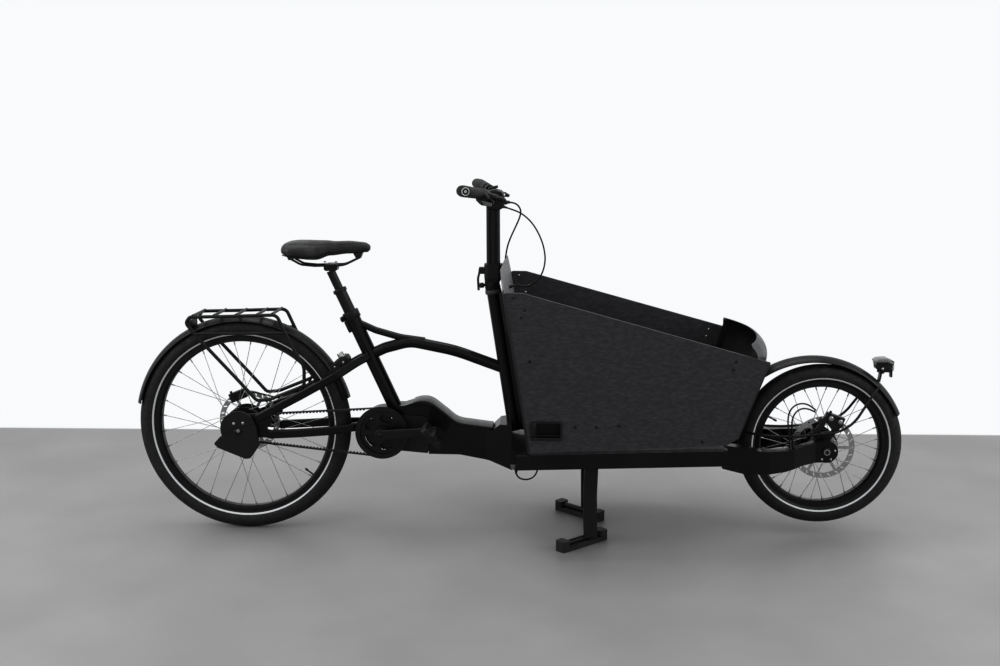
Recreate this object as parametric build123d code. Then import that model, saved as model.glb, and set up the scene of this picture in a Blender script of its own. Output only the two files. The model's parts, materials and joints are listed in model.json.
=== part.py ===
from build123d import *
import os
from math import atan2, cos, degrees, hypot, pi, radians, sin, tan

# Cargo bicycle, long-john layout.  Millimetres, +X forwards, +Y to the rider's left, +Z up.
# While it is built, X = 0 is the rear axle and Z = 0 is the ground; the export moves X so that
# the origin is under the middle of the whole bicycle.

# ---- driving dimensions -------------------------------------------------------------------
WHEELBASE = 1882.0
REAR_TYRE_R = 352.0
FRONT_TYRE_R = 263.0
FRONT_LIFT = 37.3            # the stand holds the front tyre this far off the ground
TYRE_W = 60.0
REAR_BEAD_R = 292.0
FRONT_BEAD_R = 203.0
RIM_DEPTH = 13.0
SPOKE_R = 1.0
SPOKE_COUNT = 32

ROTOR_R = 101.5
ROTOR_T = 2.0
AXLE_R = 6.0
FRONT_AXLE_R = 10.0
RUN_FIT = 0.05               # radial clearance of every turning or sliding round fit
GAP = 0.5                    # clearance between bodies that pass each other

BELT_PITCH = 11.0
RING_TEETH = 46
SPROCKET_TEETH = 24
BELT_W = 12.0
BELT_Y = -52.0
CRANK = 175.0
CRANK_TILT = 4.7
CRANK_Y = 91.0
CRANK_AXLE_R = 12.0
PEDAL_TILT = -50.0
PEDAL_W = 96.0

SEAT_TUBE_R = 23.0
SLEEVE_R = 19.0
POST_R = 14.0
PILLAR_R = 22.0
PILLAR_WALL = 4.0
CUP_HEIGHT = 24.0
STEERER_R = 15.0
BAR_R = 11.1
BAR_CENTRE_R = 15.9
BAR_HALF = 345.6

BOX_HALF = 304.7
PANEL_T = 12.0
FLOOR_T = 9.0
RAIL_HALF = 285.0
RAIL_W = 40.0

# ---- places in the side view, (x, z) ------------------------------------------------------
REAR = (0.0, REAR_TYRE_R)
FRONT = (WHEELBASE, FRONT_TYRE_R + FRONT_LIFT)
BB = (462.0, 340.0)
SEAT_FOOT = (498.0, 416.0)
SEAT_TOP = (357.6, 728.0)
PILLAR_TOP = (825.0, 791.0)
PILLAR_LOW = (898.0, 305.0)
STEM_X = 824.5
BAR_AT = (832.0, 1096.0)
STAND_PIVOT = (1140.0, 250.0)
BOX_SIDE = [(864, 830), (924, 829), (1658, 624), (1573, 394), (1537, 372), (941, 341)]
FRONT_FENDER_AT = (1854.0, 287.0)
FRONT_FENDER_R = 304.0
REAR_FENDER_R = 364.0
FENDER_HALF = 33.0


# ---- helpers ------------------------------------------------------------------------------
def rod(start, end, radius, bore=0.0):
    """Round bar or tube from start to end."""
    along = Vector(*end) - Vector(*start)
    plane = Plane(origin=start, z_dir=along)
    bar = Solid.make_cylinder(radius, along.length, plane)
    if bore:
        bar = bar - Solid.make_cylinder(bore, along.length, plane)
    return bar


def bend_radii(points, share=0.45):
    """The largest tangent arcs that leave some straight in each run."""
    radii = []
    for a, b, c in zip(points, points[1:], points[2:]):
        before = Vector(*b) - Vector(*a)
        after = Vector(*c) - Vector(*b)
        turn = radians(before.get_angle(after))
        radii.append(share * min(before.length, after.length) / tan(turn / 2))
    return radii


def bent(points, section, radii=None, across=(0, 1, 0)):
    """A bar of the given section along straight runs joined by tangent arcs."""
    if radii is None:
        radii = bend_radii(points)
    path = FilletPolyline(*points, radius=radii)
    start = Plane(origin=path @ 0, x_dir=across, z_dir=path % 0)
    return sweep(start * section, path=path)


def outline(points, radius=0.0):
    """Flat closed outline through the points, with its corners rounded."""
    ahead = list(points[1:]) + [points[0]]
    area = sum(a[0] * b[1] - b[0] * a[1] for a, b in zip(points, ahead))
    if area < 0:
        points = list(reversed(points))
    sketch = make_face(Polyline(*points, close=True))
    if radius:
        sketch = fillet(sketch.vertices(), radius)
    return sketch


def biggest(shape):
    """The main solid of a cut shape, without its offcuts."""
    return max(shape.solids(), key=lambda solid: solid.volume)


def side_slab(sketch, y_low, y_high):
    """A side-view sketch made into a slab between two Y planes."""
    return extrude(Plane.XZ.offset(-y_high) * sketch, amount=y_high - y_low)


def plan_slab(sketch, z_low, z_high):
    return extrude(Pos(0, 0, z_low) * sketch, amount=z_high - z_low)


def across(at, y_low, y_high, radius, bore=0.0):
    """Round bar along Y, at a side-view point."""
    return rod((at[0], y_low, at[1]), (at[0], y_high, at[1]), radius, bore)


def turned(sketch, at):
    """A (radius, y) sketch turned about the Y axis through a side-view point."""
    return Pos(at[0], 0, at[1]) * revolve(sketch, Axis.Y)


def polar(at, radius, angle):
    return (at[0] + radius * cos(radians(angle)), at[1] + radius * sin(radians(angle)))


def pillar_point(z):
    """Point of the steering axis at height z."""
    slope = (PILLAR_LOW[0] - PILLAR_TOP[0]) / (PILLAR_TOP[1] - PILLAR_LOW[1])
    return (PILLAR_TOP[0] + (PILLAR_TOP[1] - z) * slope, 0.0, z)


def seat_point(z):
    """Point of the seat tube axis at height z."""
    slope = (SEAT_FOOT[0] - SEAT_TOP[0]) / (SEAT_TOP[1] - SEAT_FOOT[1])
    return (SEAT_TOP[0] - (z - SEAT_TOP[1]) * slope, 0.0, z)


def steer_axis():
    low = Vector(*pillar_point(PILLAR_LOW[1]))
    return (Vector(*pillar_point(PILLAR_TOP[1])) - low).normalized()


def seat_axis():
    return (Vector(*seat_point(SEAT_TOP[1])) - Vector(*seat_point(SEAT_FOOT[1]))).normalized()


# ---- wheels -------------------------------------------------------------------------------
TYRE_WALL = 4.0
RIM_HALF = 18.5
RIM_SEAT_HALF = 16.0
BEAD_W = 4.0


def tyre(at, tyre_r, bead_r):
    middle = tyre_r - TYRE_W / 2
    tread = Pos(middle, 0) * Circle(TYRE_W / 2)
    legs = Pos((bead_r + middle) / 2, 0) * Rectangle(middle - bead_r, 2 * RIM_SEAT_HALF)
    air = Pos(middle, 0) * Circle(TYRE_W / 2 - TYRE_WALL)
    throat = Pos((bead_r - 1 + middle) / 2, 0) * Rectangle(
        middle - bead_r + 1, 2 * (RIM_SEAT_HALF - BEAD_W))
    below = Pos(bead_r - 50, 0) * Rectangle(100, 2 * TYRE_W)
    return turned(tread + legs - air - throat - below, at)


def rim(at, bead_r):
    inner = bead_r - RIM_DEPTH
    half = [(inner, 10), (bead_r - 7, RIM_HALF), (bead_r + 6, RIM_HALF), (bead_r + 6, RIM_SEAT_HALF),
            (bead_r, RIM_SEAT_HALF), (bead_r, 9), (bead_r - 4, 6)]
    other = [(r, -y) for r, y in reversed(half)]
    return turned(outline(half + other), at)


def spokes(at, flange_r, flange_y, flange_t, bead_r, lean):
    """Crossed spokes, each with its nipple at the rim, laid against both faces of the flanges."""
    nipple = 12.0
    inner = bead_r - RIM_DEPTH
    pieces = []
    for i in range(SPOKE_COUNT):
        side = 1 if i % 2 else -1
        outer_face = (i // 2) % 2
        stand_off = flange_t / 2 + SPOKE_R
        y_hub = side * (flange_y + (stand_off if outer_face else -stand_off))
        at_rim = 2 * pi * (i + 0.5) / SPOKE_COUNT
        at_hub = at_rim + radians(lean if outer_face else -lean)
        hub = Vector((flange_r - 3) * cos(at_hub), y_hub, (flange_r - 3) * sin(at_hub))
        end = Vector(inner * cos(at_rim), side * 3, inner * sin(at_rim))
        along = (end - hub).normalized()
        neck = end - along * nipple
        move = Vector(at[0], 0, at[1])
        pieces.append(rod(tuple(hub + move), tuple(neck + move), SPOKE_R))
        pieces.append(rod(tuple(neck + move), tuple(end + move), 2.2))
    return pieces


def rotor(at, y_low, bore, slots=24):
    """Slotted brake disc with a six-arm spider."""
    band = Circle(ROTOR_R) - Circle(ROTOR_R - 17)
    for place in PolarLocations(ROTOR_R - 8.5, slots):
        band -= place * (Rot(0, 0, 35) * SlotOverall(13, 4))
    hub = Circle(bore + 11)
    arms = Sketch() + [place * Rectangle(ROTOR_R - 30, 9)
                       for place in PolarLocations((ROTOR_R + bore) / 2 - 4, 6)]
    disc = band + (arms & Circle(ROTOR_R - 12)) + hub - Circle(bore)
    return side_slab(Pos(at[0], at[1]) * disc, y_low, y_low + ROTOR_T)


def toothed(at, teeth, y_low, y_high, bore):
    """Belt pulley whose teeth stay just inside the belt's backing."""
    tip = teeth * BELT_PITCH / (2 * pi) - 1.2
    disc = Circle(tip) - Circle(bore)
    for place in PolarLocations(tip, teeth):
        disc -= place * Circle(2.6)
    return side_slab(Pos(at[0], at[1]) * disc, y_low, y_high)


def rear_wheel():
    hub_r, flange_r, flange_y, flange_t = 54.0, 62.0, 27.0, 3.0
    bore = AXLE_R + RUN_FIT
    hub = across(REAR, -36, 36, hub_r, bore) + across(REAR, 36, 50, 24, bore)
    for y in (-flange_y, flange_y):
        hub += across(REAR, y - flange_t / 2, y + flange_t / 2, flange_r, bore)
    hoop = rim(REAR, REAR_BEAD_R)
    return {
        "rear_tyre": tyre(REAR, REAR_TYRE_R, REAR_BEAD_R) - hoop,
        "rear_rim": hoop,
        "rear_spokes": spokes(REAR, flange_r, flange_y, flange_t, REAR_BEAD_R, 40),
        "rear_hub_shell": hub,
        "rear_rotor": rotor(REAR, 50, AXLE_R + RUN_FIT),
    }


CARRIER_IN = 32.0
CARRIER_OUT = 36.0
KING_PIN_R = 6.0


def front_wheel():
    hub_r, flange_r, flange_y, flange_t = 46.0, 54.0, 24.0, 3.0
    bore = CARRIER_OUT + RUN_FIT
    hub = across(FRONT, -38, 38, hub_r, bore) + across(FRONT, -47, -38, 42, bore)
    for y in (-flange_y, flange_y):
        hub += across(FRONT, y - flange_t / 2, y + flange_t / 2, flange_r, bore)
    hoop = rim(FRONT, FRONT_BEAD_R)
    return {
        "front_tyre": tyre(FRONT, FRONT_TYRE_R, FRONT_BEAD_R) - hoop,
        "front_rim": hoop,
        "front_spokes": spokes(FRONT, flange_r, flange_y, flange_t, FRONT_BEAD_R, 36),
        "front_hub_shell": hub,
        "front_rotor": rotor(FRONT, -49, CARRIER_OUT + GAP),
    }


# ---- hub-centre steering ------------------------------------------------------------------
BOSS_IN = 76.0
BOSS_OUT = 105.0


def tilt_front(part):
    """Lean a piece built upright on the front axle to the steering axis."""
    lean = degrees(atan2(-steer_axis().X, steer_axis().Z))
    return Pos(FRONT[0], 0, FRONT[1]) * Rot(0, -lean, 0) * part


def front_axle():
    axle = across(FRONT, -BOSS_OUT - 8, BOSS_OUT + 8, FRONT_AXLE_R)
    block = tilt_front(Cylinder(17, 46) - Cylinder(KING_PIN_R + RUN_FIT, 60))
    bore = tilt_front(Cylinder(KING_PIN_R + RUN_FIT, 60))
    return axle + block - bore


def front_knuckle():
    """Hollow carrier on the king pin, with plates for the calliper and the fender stays."""
    ring_part = across(FRONT, -66, 50, CARRIER_OUT, CARRIER_IN)
    slot_z = FRONT_AXLE_R + 4
    ends = Pos(FRONT[0], 0, FRONT[1]) * (Pos(0, -54, 0) * Box(100, 28, 2 * slot_z)
                                          + Pos(0, 46, 0) * Box(100, 12, 2 * slot_z))
    under = Pos(FRONT[0], -54, FRONT[1] - 30) * Box(100, 28, 60)
    pin = tilt_front(Cylinder(KING_PIN_R, 2 * CARRIER_OUT - 4))
    ear = outline([(FRONT[0] - 22, FRONT[1] + 26), (FRONT[0] - 40, FRONT[1] + 48),
                   (FRONT[0] + 2, FRONT[1] + 108), (FRONT[0] + 42, FRONT[1] + 96),
                   (FRONT[0] + 54, FRONT[1] + 72), (FRONT[0] + 20, FRONT[1] + 29)], 5)
    window = outline([(FRONT[0] - 16, FRONT[1] + 52), (FRONT[0] + 4, FRONT[1] + 86),
                      (FRONT[0] + 26, FRONT[1] + 58)], 4)
    plate = side_slab(ear, -66, -60) - side_slab(window, -70, -55)
    left = outline([(FRONT[0] - 20, FRONT[1] + 28), (FRONT[0] - 30, FRONT[1] + 62),
                    (FRONT[0] + 34, FRONT[1] + 62), (FRONT[0] + 20, FRONT[1] + 28)], 4)
    shell = ring_part - ends - under + plate + side_slab(left, 46, 50)
    inside = across(FRONT, -90, 60, CARRIER_IN)
    return shell - inside + pin


def calliper(centre, angle, y_mid):
    """Two-piston calliper body, slotted for the disc."""
    width = 30.0
    body = Box(58, width, 30) - Pos(0, 0, -4) * Box(70, 5, 34)
    body = fillet(body.edges().filter_by(Axis.Z), 5)
    for x in (-16, 16):
        body += Pos(x, -width / 2, 3) * Rot(90, 0, 0) * Cylinder(7.5, 12)
    body += Pos(-20, 0, 17) * Cylinder(4, 10)
    return Pos(centre[0], y_mid, centre[1]) * Rot(0, angle, 0) * body


def fender(at, outer, half, start, stop):
    """Thin arched mudguard round a side-view point, between two angles."""
    thick = 2.5
    sag = 16.0

    def arch(r, y, drop):
        low = (r - drop, y)
        return low, (r, 0), (r - drop, -y)

    outer_arc = ThreePointArc(*arch(outer, half, sag))
    inner_arc = ThreePointArc(*arch(outer - thick, half - thick, sag))
    edge_a = Line(outer_arc @ 0, inner_arc @ 0)
    edge_b = Line(outer_arc @ 1, inner_arc @ 1)
    section = make_face([outer_arc, inner_arc, edge_a, edge_b])
    swept = revolve(section, Axis.Y, stop - start)
    return Pos(at[0], 0, at[1]) * Rot(0, -start, 0) * Rot(0, -(stop - start), 0) * swept


STAY_R = 4.0
STAY_Y = 70.5


def front_fender_stays():
    rear_end = (FRONT[0] - 249, FRONT[1] + 46)
    tip = polar(FRONT_FENDER_AT, FRONT_FENDER_R - 14, 46)
    pieces = []
    for side in (-1, 1):
        y = side * STAY_Y
        route = [(rear_end[0], side * 40, rear_end[1]), (rear_end[0] + 60, y, rear_end[1] - 4),
                 (FRONT[0] - 100, y, FRONT[1] + 38), (FRONT[0] + 76, y, FRONT[1] + 58),
                 (FRONT[0] + 150, side * 50, FRONT[1] + 170), (tip[0], side * 37.5, tip[1])]
        foot = (FRONT[0] + 20, FRONT[1] + 52)
        plate_face = -66 if side < 0 else 50
        stub = across(foot, min(y, plate_face), max(y, plate_face), 3.5)
        pieces.append(bent(route, Circle(STAY_R)) + stub)
    return pieces


# ---- drive --------------------------------------------------------------------------------
def belt():
    """Toothed belt round both pulleys; it has teeth on its two straight runs."""
    r_rear = SPROCKET_TEETH * BELT_PITCH / (2 * pi)
    r_front = RING_TEETH * BELT_PITCH / (2 * pi)
    back, face = 2.2, -0.8

    def band(extra):
        discs = Pos(*REAR) * Circle(r_rear + extra) + Pos(*BB) * Circle(r_front + extra)
        span = hypot(BB[0] - REAR[0], BB[1] - REAR[1])
        lean = atan2(BB[1] - REAR[1], BB[0] - REAR[0])
        open_angle = atan2(r_front - r_rear, (span ** 2 - (r_front - r_rear) ** 2) ** 0.5)
        corners = []
        for side in (1, -1):
            normal = lean + side * (pi / 2 + open_angle)
            near = (REAR[0] + (r_rear + extra) * cos(normal), REAR[1] + (r_rear + extra) * sin(normal))
            far = (BB[0] + (r_front + extra) * cos(normal), BB[1] + (r_front + extra) * sin(normal))
            corners.append((near, far))
        hull = outline([corners[0][0], corners[0][1], corners[1][1], corners[1][0]])
        return discs + hull, corners

    outer, _ = band(back)
    inner, runs = band(face)
    strap = outer - inner
    for near, far in runs:
        along = Vector(far[0] - near[0], far[1] - near[1])
        turn = degrees(atan2(along.Y, along.X))
        inward = Vector(-along.Y, along.X).normalized() * (1 if near[1] < REAR[1] else -1)
        count = int((along.length - 54) / BELT_PITCH)
        for i in range(count):
            spot = Vector(*near) + along.normalized() * (22 + i * BELT_PITCH) + inward * 1.4
            strap += Pos(spot.X, spot.Y) * Rot(0, 0, turn) * Rectangle(5.5, 3.4)
    return side_slab(strap, BELT_Y - BELT_W / 2, BELT_Y + BELT_W / 2)


def crank_set():
    """Chainring with guard, and the arms on their common axle."""
    ring_r = RING_TEETH * BELT_PITCH / (2 * pi)
    y0 = BELT_Y - BELT_W / 2
    web = Pos(*BB) * (Circle(ring_r - 7) - Circle(CRANK_AXLE_R))
    for place in PolarLocations(ring_r * 0.58, 5):
        web -= Pos(*BB) * place * (Rot(0, 0, 90) * SlotOverall(44, 24))
    guard = Pos(*BB) * (Circle(ring_r + 6) - Circle(ring_r - 9))
    teeth = toothed(BB, RING_TEETH, y0, y0 + BELT_W, ring_r - 9)
    chainring = teeth + side_slab(web, y0 + 3, y0 + 8) + side_slab(guard, y0 - 4, y0 - 1)
    chainring += side_slab(Pos(*BB) * (Circle(ring_r - 3) - Circle(ring_r - 9)), y0 - 2, y0 + 1)
    chainring += across(BB, -CRANK_Y + 7, -MOTOR_BOSS - GAP, 24, CRANK_AXLE_R)

    arms = []
    for side, turn in ((-1, CRANK_TILT), (1, CRANK_TILT + 180)):
        end = polar(BB, CRANK, turn)
        arm = Pos(*BB) * Circle(19) + Pos(*end) * Circle(15)
        normal = radians(turn + 90)
        shoulder = [(BB[0] + 16 * cos(normal), BB[1] + 16 * sin(normal)),
                    (end[0] + 12.5 * cos(normal), end[1] + 12.5 * sin(normal)),
                    (end[0] - 12.5 * cos(normal), end[1] - 12.5 * sin(normal)),
                    (BB[0] - 16 * cos(normal), BB[1] - 16 * sin(normal))]
        arm += outline(shoulder)
        low, high = sorted((side * (CRANK_Y - 7), side * (CRANK_Y + 7)))
        body = side_slab(arm, low, high)
        body = fillet(body.edges().filter_by(lambda e: abs(abs(e.center().Y) - CRANK_Y) > 6.9), 3)
        spindle = sorted((side * (CRANK_Y + 7), side * (CRANK_Y + 15 + PEDAL_W)))
        body += across(end, spindle[0], spindle[1], 6.0)
        body -= across(BB, low - 1, high + 1, CRANK_AXLE_R)
        arms.append(body)
    axle = across(BB, -CRANK_Y - 7, CRANK_Y + 7, CRANK_AXLE_R)
    return chainring, arms + [axle]


def pedal(side):
    end = polar(BB, CRANK, CRANK_TILT if side < 0 else CRANK_TILT + 180)
    near = CRANK_Y + 11
    far = near + PEDAL_W
    frame = fillet((Rectangle(PEDAL_W, 84)).vertices(), 12)
    for y in (-26, 26):
        frame -= Pos(0, y) * fillet(Rectangle(PEDAL_W - 24, 22).vertices(), 6)
    body = extrude(frame, amount=8, both=True)
    body += Rot(0, 90, 0) * Cylinder(12, PEDAL_W)
    body -= Rot(0, 90, 0) * Cylinder(6.0 + RUN_FIT, PEDAL_W + 10)
    turn = Rot(0, -PEDAL_TILT, 0) * Rot(0, 0, 90)
    return Pos(end[0], side * (near + far) / 2, end[1]) * turn * body


MOTOR_BOSS = 47.0


def motor_outline(extra=0.0):
    case = Pos(*BB) * Circle(60)
    case += outline([(BB[0], 281), (608, 268), (612, 274), (612, 384), (600, 392), (500, 398)])
    if extra:
        case = offset(case, extra)
    return case


def motor_housing():
    body = side_slab(motor_outline(), -42, 42)
    body += across(BB, -MOTOR_BOSS, MOTOR_BOSS, 27, CRANK_AXLE_R + RUN_FIT)
    for i in range(5):
        spot = polar(BB, 47, 40 + 72 * i)
        body += across(spot, 42, 45, 7)
    return body - across(BB, -60, 60, CRANK_AXLE_R + RUN_FIT)


# ---- frame --------------------------------------------------------------------------------
def beam_plan():
    return outline([(370, 36), (700, 36), (800, 42), (885, 76), (885, -76), (800, -42), (700, -36),
                    (370, -36)])


def main_beam():
    """Cradle round the motor, hump and beam back to the box frame."""
    cradle = Pos(*BB) * Circle(75) & outline([(380, 322), (470, 322), (470, 430), (380, 430)])
    hump = outline([(440, 400), (500, 424), (531, 424), (581, 441), (622, 428), (700, 366), (733, 362),
                    (820, 347), (846, 370), (885, 372), (885, 223), (813, 246), (715, 263), (612, 264),
                    (612, 340), (462, 330)])
    body = side_slab(cradle + hump, -90, 90) & plan_slab(beam_plan(), 200, 460)
    body -= side_slab(motor_outline(GAP), -90, 90)
    pocket = side_slab(outline([(650, 275), (640, 385), (700, 352), (820, 336), (886, 330), (886, 236),
                                (813, 256), (715, 273)]), -31, 31)
    return body - pocket


def seat_tube(beam):
    tube = rod(seat_point(400), seat_point(SEAT_TOP[1]), SEAT_TUBE_R, SLEEVE_R + RUN_FIT)
    return biggest(tube - beam - side_slab(motor_outline(), -60, 60))


def head_pillar(beam):
    low = pillar_point(340)
    top = pillar_point(PILLAR_TOP[1])
    up = steer_axis()
    tube = rod(low, top, PILLAR_R, PILLAR_R - PILLAR_WALL) - beam
    cup_top = tuple(Vector(*top) + up * CUP_HEIGHT)
    cup = rod(top, cup_top, PILLAR_R + 3, STEERER_R + RUN_FIT)
    bush_from = Vector(*pillar_point(400))
    bush = rod(tuple(bush_from), tuple(bush_from + up * 16), PILLAR_R - PILLAR_WALL, STEERER_R + RUN_FIT)
    return [tube, cup, bush]


def top_tube(seat_solid, pillar_solid):
    """Main tube through the seat tube's front, with the small brace above it."""
    main = bent([(400, 0, 578), (470, 0, 610), (552, 0, 632), (700, 0, 602), (880, 0, 536)],
                Ellipse(17, 18), [80, 120, 500])
    brace = bent([(360, 0, 704), (440, 0, 668), (520, 0, 645), (600, 0, 634)], Circle(11), [90, 200])
    behind = outline([(300, 480), (300, 780), (seat_point(780)[0], 780), (seat_point(480)[0], 480)])
    body = main + brace
    return biggest(body - seat_solid - pillar_solid - side_slab(behind, -60, 60))


STAY_OUT = 67.5


def rear_stays(seat_solid, beam):
    """Both sides: upper stay, chain stay and drop-out in one welded piece each."""
    dropout = outline([(-20, 336), (-18, 370), (40, 392), (96, 412), (110, 380), (84, 352), (112, 346),
                       (112, 322), (30, 326)], 6)
    pieces = []
    for side in (-1, 1):
        y = side * STAY_OUT
        upper = bent([(444, side * 10, 600), (378, side * 42, 566), (320, y, 530), (198, y, 462),
                      (58, y, 388)], RectangleRounded(17, 27, 6), [120, 120, 400])
        chain = bent([(96, y, 334), (190, y, 339), (290, side * 64, 346), (412, side * 22, 357)],
                     RectangleRounded(17, 28, 6), [300, 120])
        plate = side_slab(dropout, min(y - 3, y + 3), max(y - 3, y + 3))
        whole = upper + chain + plate
        whole -= across(REAR, -90, 90, AXLE_R)
        keep = Pos(0, side * 60.05, 400) * Box(1200, 120, 900)
        ahead = side_slab(outline([(seat_point(480)[0], 480), (seat_point(780)[0], 780), (600, 780),
                                   (600, 480)]), -80, 80)
        whole = (whole & keep) - seat_solid - beam - ahead - side_slab(motor_outline(), -90, 90)
        pieces.append(biggest(whole))
    return pieces


def rear_axle():
    axle = across(REAR, -96, STAY_OUT + 18, AXLE_R)
    left_nut = across(REAR, STAY_OUT + 3, STAY_OUT + 12, 11, AXLE_R)
    return axle + left_nut


def hub_interface():
    """Shift actuator on the drive side: a round cover with an angular box under it."""
    disc = Pos(-4, 354) * Circle(58)
    case = outline([(-62, 330), (-84, 306), (-70, 292), (18, 256), (34, 258), (64, 300), (56, 372)], 5)
    inner = -STAY_OUT - 3.5
    body = side_slab(disc, inner - 11, inner) + side_slab(case, inner - 17, inner)
    body = body + across((-7, 346), inner - 21, inner - 11, 12)
    return body - across(REAR, -110, -60, AXLE_R)


def underframe():
    """Two side rails, three crossmembers and the stand's bracket below the cargo box."""
    low = [(905, 281), (1545, 300)]
    depth = 50.0
    rails = []
    for side in (-1, 1):
        y0, y1 = sorted((side * (RAIL_HALF - RAIL_W), side * RAIL_HALF))
        profile = outline([low[0], low[1], (1545, 300 + depth), (905, 281 + depth)])
        rail = fillet(side_slab(profile, y0, y1).edges().filter_by(lambda e: e.length > 500), 6)
        hollow = outline([(900, low[0][1] + 3), (1541, 303), (1541, 297 + depth),
                          (900, low[0][1] + depth - 3)])
        rails.append(rail - side_slab(hollow, y0 + 3, y1 - 3))
    inner = RAIL_HALF - RAIL_W
    rear = Plane.YZ.offset(885) * outline([(-inner, 290), (-76, 224), (76, 224), (inner, 290),
                                           (inner, 331), (-inner, 331)])
    middle = Plane.YZ.offset(STAND_PIVOT[0] - 30) * outline([(-inner, 293), (inner, 293), (inner, 334),
                                                             (-inner, 334)])
    front = Plane.YZ.offset(1477) * outline([(-inner, 300), (-190, 276), (190, 276), (inner, 300),
                                             (inner, 345), (-inner, 345)])
    bars = []
    for face, depth_x in ((rear, 65), (middle, 60), (front, 68)):
        tunnel = offset(face, -4, kind=Kind.INTERSECTION)
        bar = extrude(face, amount=depth_x)
        bars.append(bar - extrude(Pos(4, 0, 0) * tunnel, amount=depth_x - 8))
    brackets = []
    for side in (-1, 1):
        ear_x, ear_low = STAND_PIVOT[0], STAND_PIVOT[1] - 14
        ear = outline([(ear_x - 26, 293), (ear_x + 26, 293), (ear_x + 20, ear_low), (ear_x - 20, ear_low)],
                      6)
        y0, y1 = sorted((side * 92, side * 100))
        brackets.append(side_slab(ear, y0, y1) - across(STAND_PIVOT, -120, 120, 10 + RUN_FIT))
    return rails + bars + brackets


def front_arms():
    """Two arms from the front crossmember to the front axle."""
    x, z = FRONT
    top = [(1545, 338), (1600, 330), (1668, 317), (1745, 316), (1810, 325), (x - 6, z + 34)]
    bottom = [(x - 6, z - 34), (1800, 262), (1745, 249), (1683, 244), (1614, 245), (1545, 262)]
    shape = outline(top + bottom, 3) + Pos(x, z) * Circle(36)
    plan = [(1545, 134), (x - 190, 134), (x - 100, 108), (x - 40, BOSS_IN), (x + 50, BOSS_IN),
            (x + 50, BOSS_OUT), (x - 34, BOSS_OUT), (x - 110, 150), (x - 190, 174), (1545, 174)]
    pieces = []
    for side in (-1, 1):
        flat = outline([(px, side * py) for px, py in plan], 2)
        arm = side_slab(shape, -200, 200) & plan_slab(flat, 200, 380)
        pieces.append(arm - across(FRONT, -120, 120, FRONT_AXLE_R))
    return pieces


# ---- steering column ----------------------------------------------------------------------
POST_X = 43.0
POST_Y = 40.0
SOCKET_TOP = 886.0


def steerer():
    up = steer_axis()
    cup_top = Vector(*pillar_point(PILLAR_TOP[1])) + up * CUP_HEIGHT
    tube = rod(pillar_point(395), tuple(cup_top + up * 12), STEERER_R, STEERER_R - 3)
    crown = rod(tuple(cup_top + up * GAP), tuple(cup_top + up * 16), PILLAR_R + 2)
    base = Pos(STEM_X, 0, (842 + SOCKET_TOP) / 2) * extrude(RectangleRounded(58, 52, 14),
                                                            amount=(SOCKET_TOP - 842) / 2, both=True)
    neck = loft([Pos(STEM_X - 4, 0, 826) * RectangleRounded(46, 44, 12),
                 Pos(STEM_X, 0, 842) * RectangleRounded(58, 52, 14)])
    pocket = Pos(STEM_X, 0, (834 + SOCKET_TOP + 4) / 2) * Box(POST_X + 2 * 0.3, POST_Y + 2 * 0.3,
                                                              SOCKET_TOP + 4 - 834)
    pocket = fillet(pocket.edges().filter_by(Axis.Z), 11)
    ears = Pos(STEM_X - 36, 0, 864) * Box(20, 30, 20) - Pos(STEM_X - 40, 0, 864) * Box(20, 12, 30)
    pivot = rod((STEM_X - 40, -15, 864), (STEM_X - 40, 15, 864), 3)
    shell = tube + crown + neck + base + ears + pivot - pocket
    return shell


def qr_lever():
    x = STEM_X - 40
    blade = bent([(x - 3, 0, 866), (x - 10, 0, 838), (x - 8, 0, 800)], RectangleRounded(10, 7, 2), [40])
    hub = rod((x, -5.5, 864), (x, 5.5, 864), 8)
    return hub + blade - rod((x, -20, 864), (x, 20, 864), 3 + RUN_FIT)


def bar_route():
    z = BAR_AT[1]
    half = [(BAR_AT[0], 60, z), (BAR_AT[0] - 20, 150, z + 16), (BAR_AT[0] - 69, BAR_HALF, z + 33)]
    return [(px, -py, pz) for px, py, pz in reversed(half)] + half


def bar_point(side, inset):
    """Point on the bar's straight end, this far in from its tip, and the outward direction."""
    tip = Vector(BAR_AT[0] - 69, side * BAR_HALF, BAR_AT[1] + 33)
    knee = Vector(BAR_AT[0] - 20, side * 150, BAR_AT[1] + 16)
    out = (tip - knee).normalized()
    return tip - out * inset, out


def stem_post():
    shape = RectangleRounded(POST_X, POST_Y, 10.7)
    for x in (-9, 9):
        for y in (-POST_Y / 2, POST_Y / 2):
            shape -= Pos(x, y) * Circle(3.5)
    shape -= RectangleRounded(POST_X - 14, POST_Y - 14, 6)
    post = extrude(Pos(STEM_X, 0, 836) * shape, amount=1072 - 836)
    head = Pos(BAR_AT[0] - 2, 0, BAR_AT[1] - 4) * Box(50, 52, 46)
    head = fillet(head.edges().filter_by(Axis.Y), 14)
    return post + head - across(BAR_AT, -40, 40, BAR_CENTRE_R)


def handlebar():
    route = bar_route()
    bar = bent(route, Circle(BAR_R) - Circle(BAR_R - 2.2), [70, 90, 90, 70], across=(1, 0, 0))
    return bar + across(BAR_AT, -34, 34, BAR_CENTRE_R, BAR_R - 0.5)


def on_bar(side, inset, length, radius, bore=BAR_R):
    """Sleeve round the bar's straight end."""
    outer, out = bar_point(side, inset)
    inner = outer - out * length
    return rod(tuple(inner), tuple(outer), radius, bore)


LEVER_DOWN = -42.0
GRIP_LEN = 128.0
RING_LEN = 28.0


def lever_offset():
    return Vector(cos(radians(LEVER_DOWN)), 0, sin(radians(LEVER_DOWN)))


def lever_pivot(side):
    spot, out = bar_point(side, 146)
    return spot + lever_offset() * 38


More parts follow.
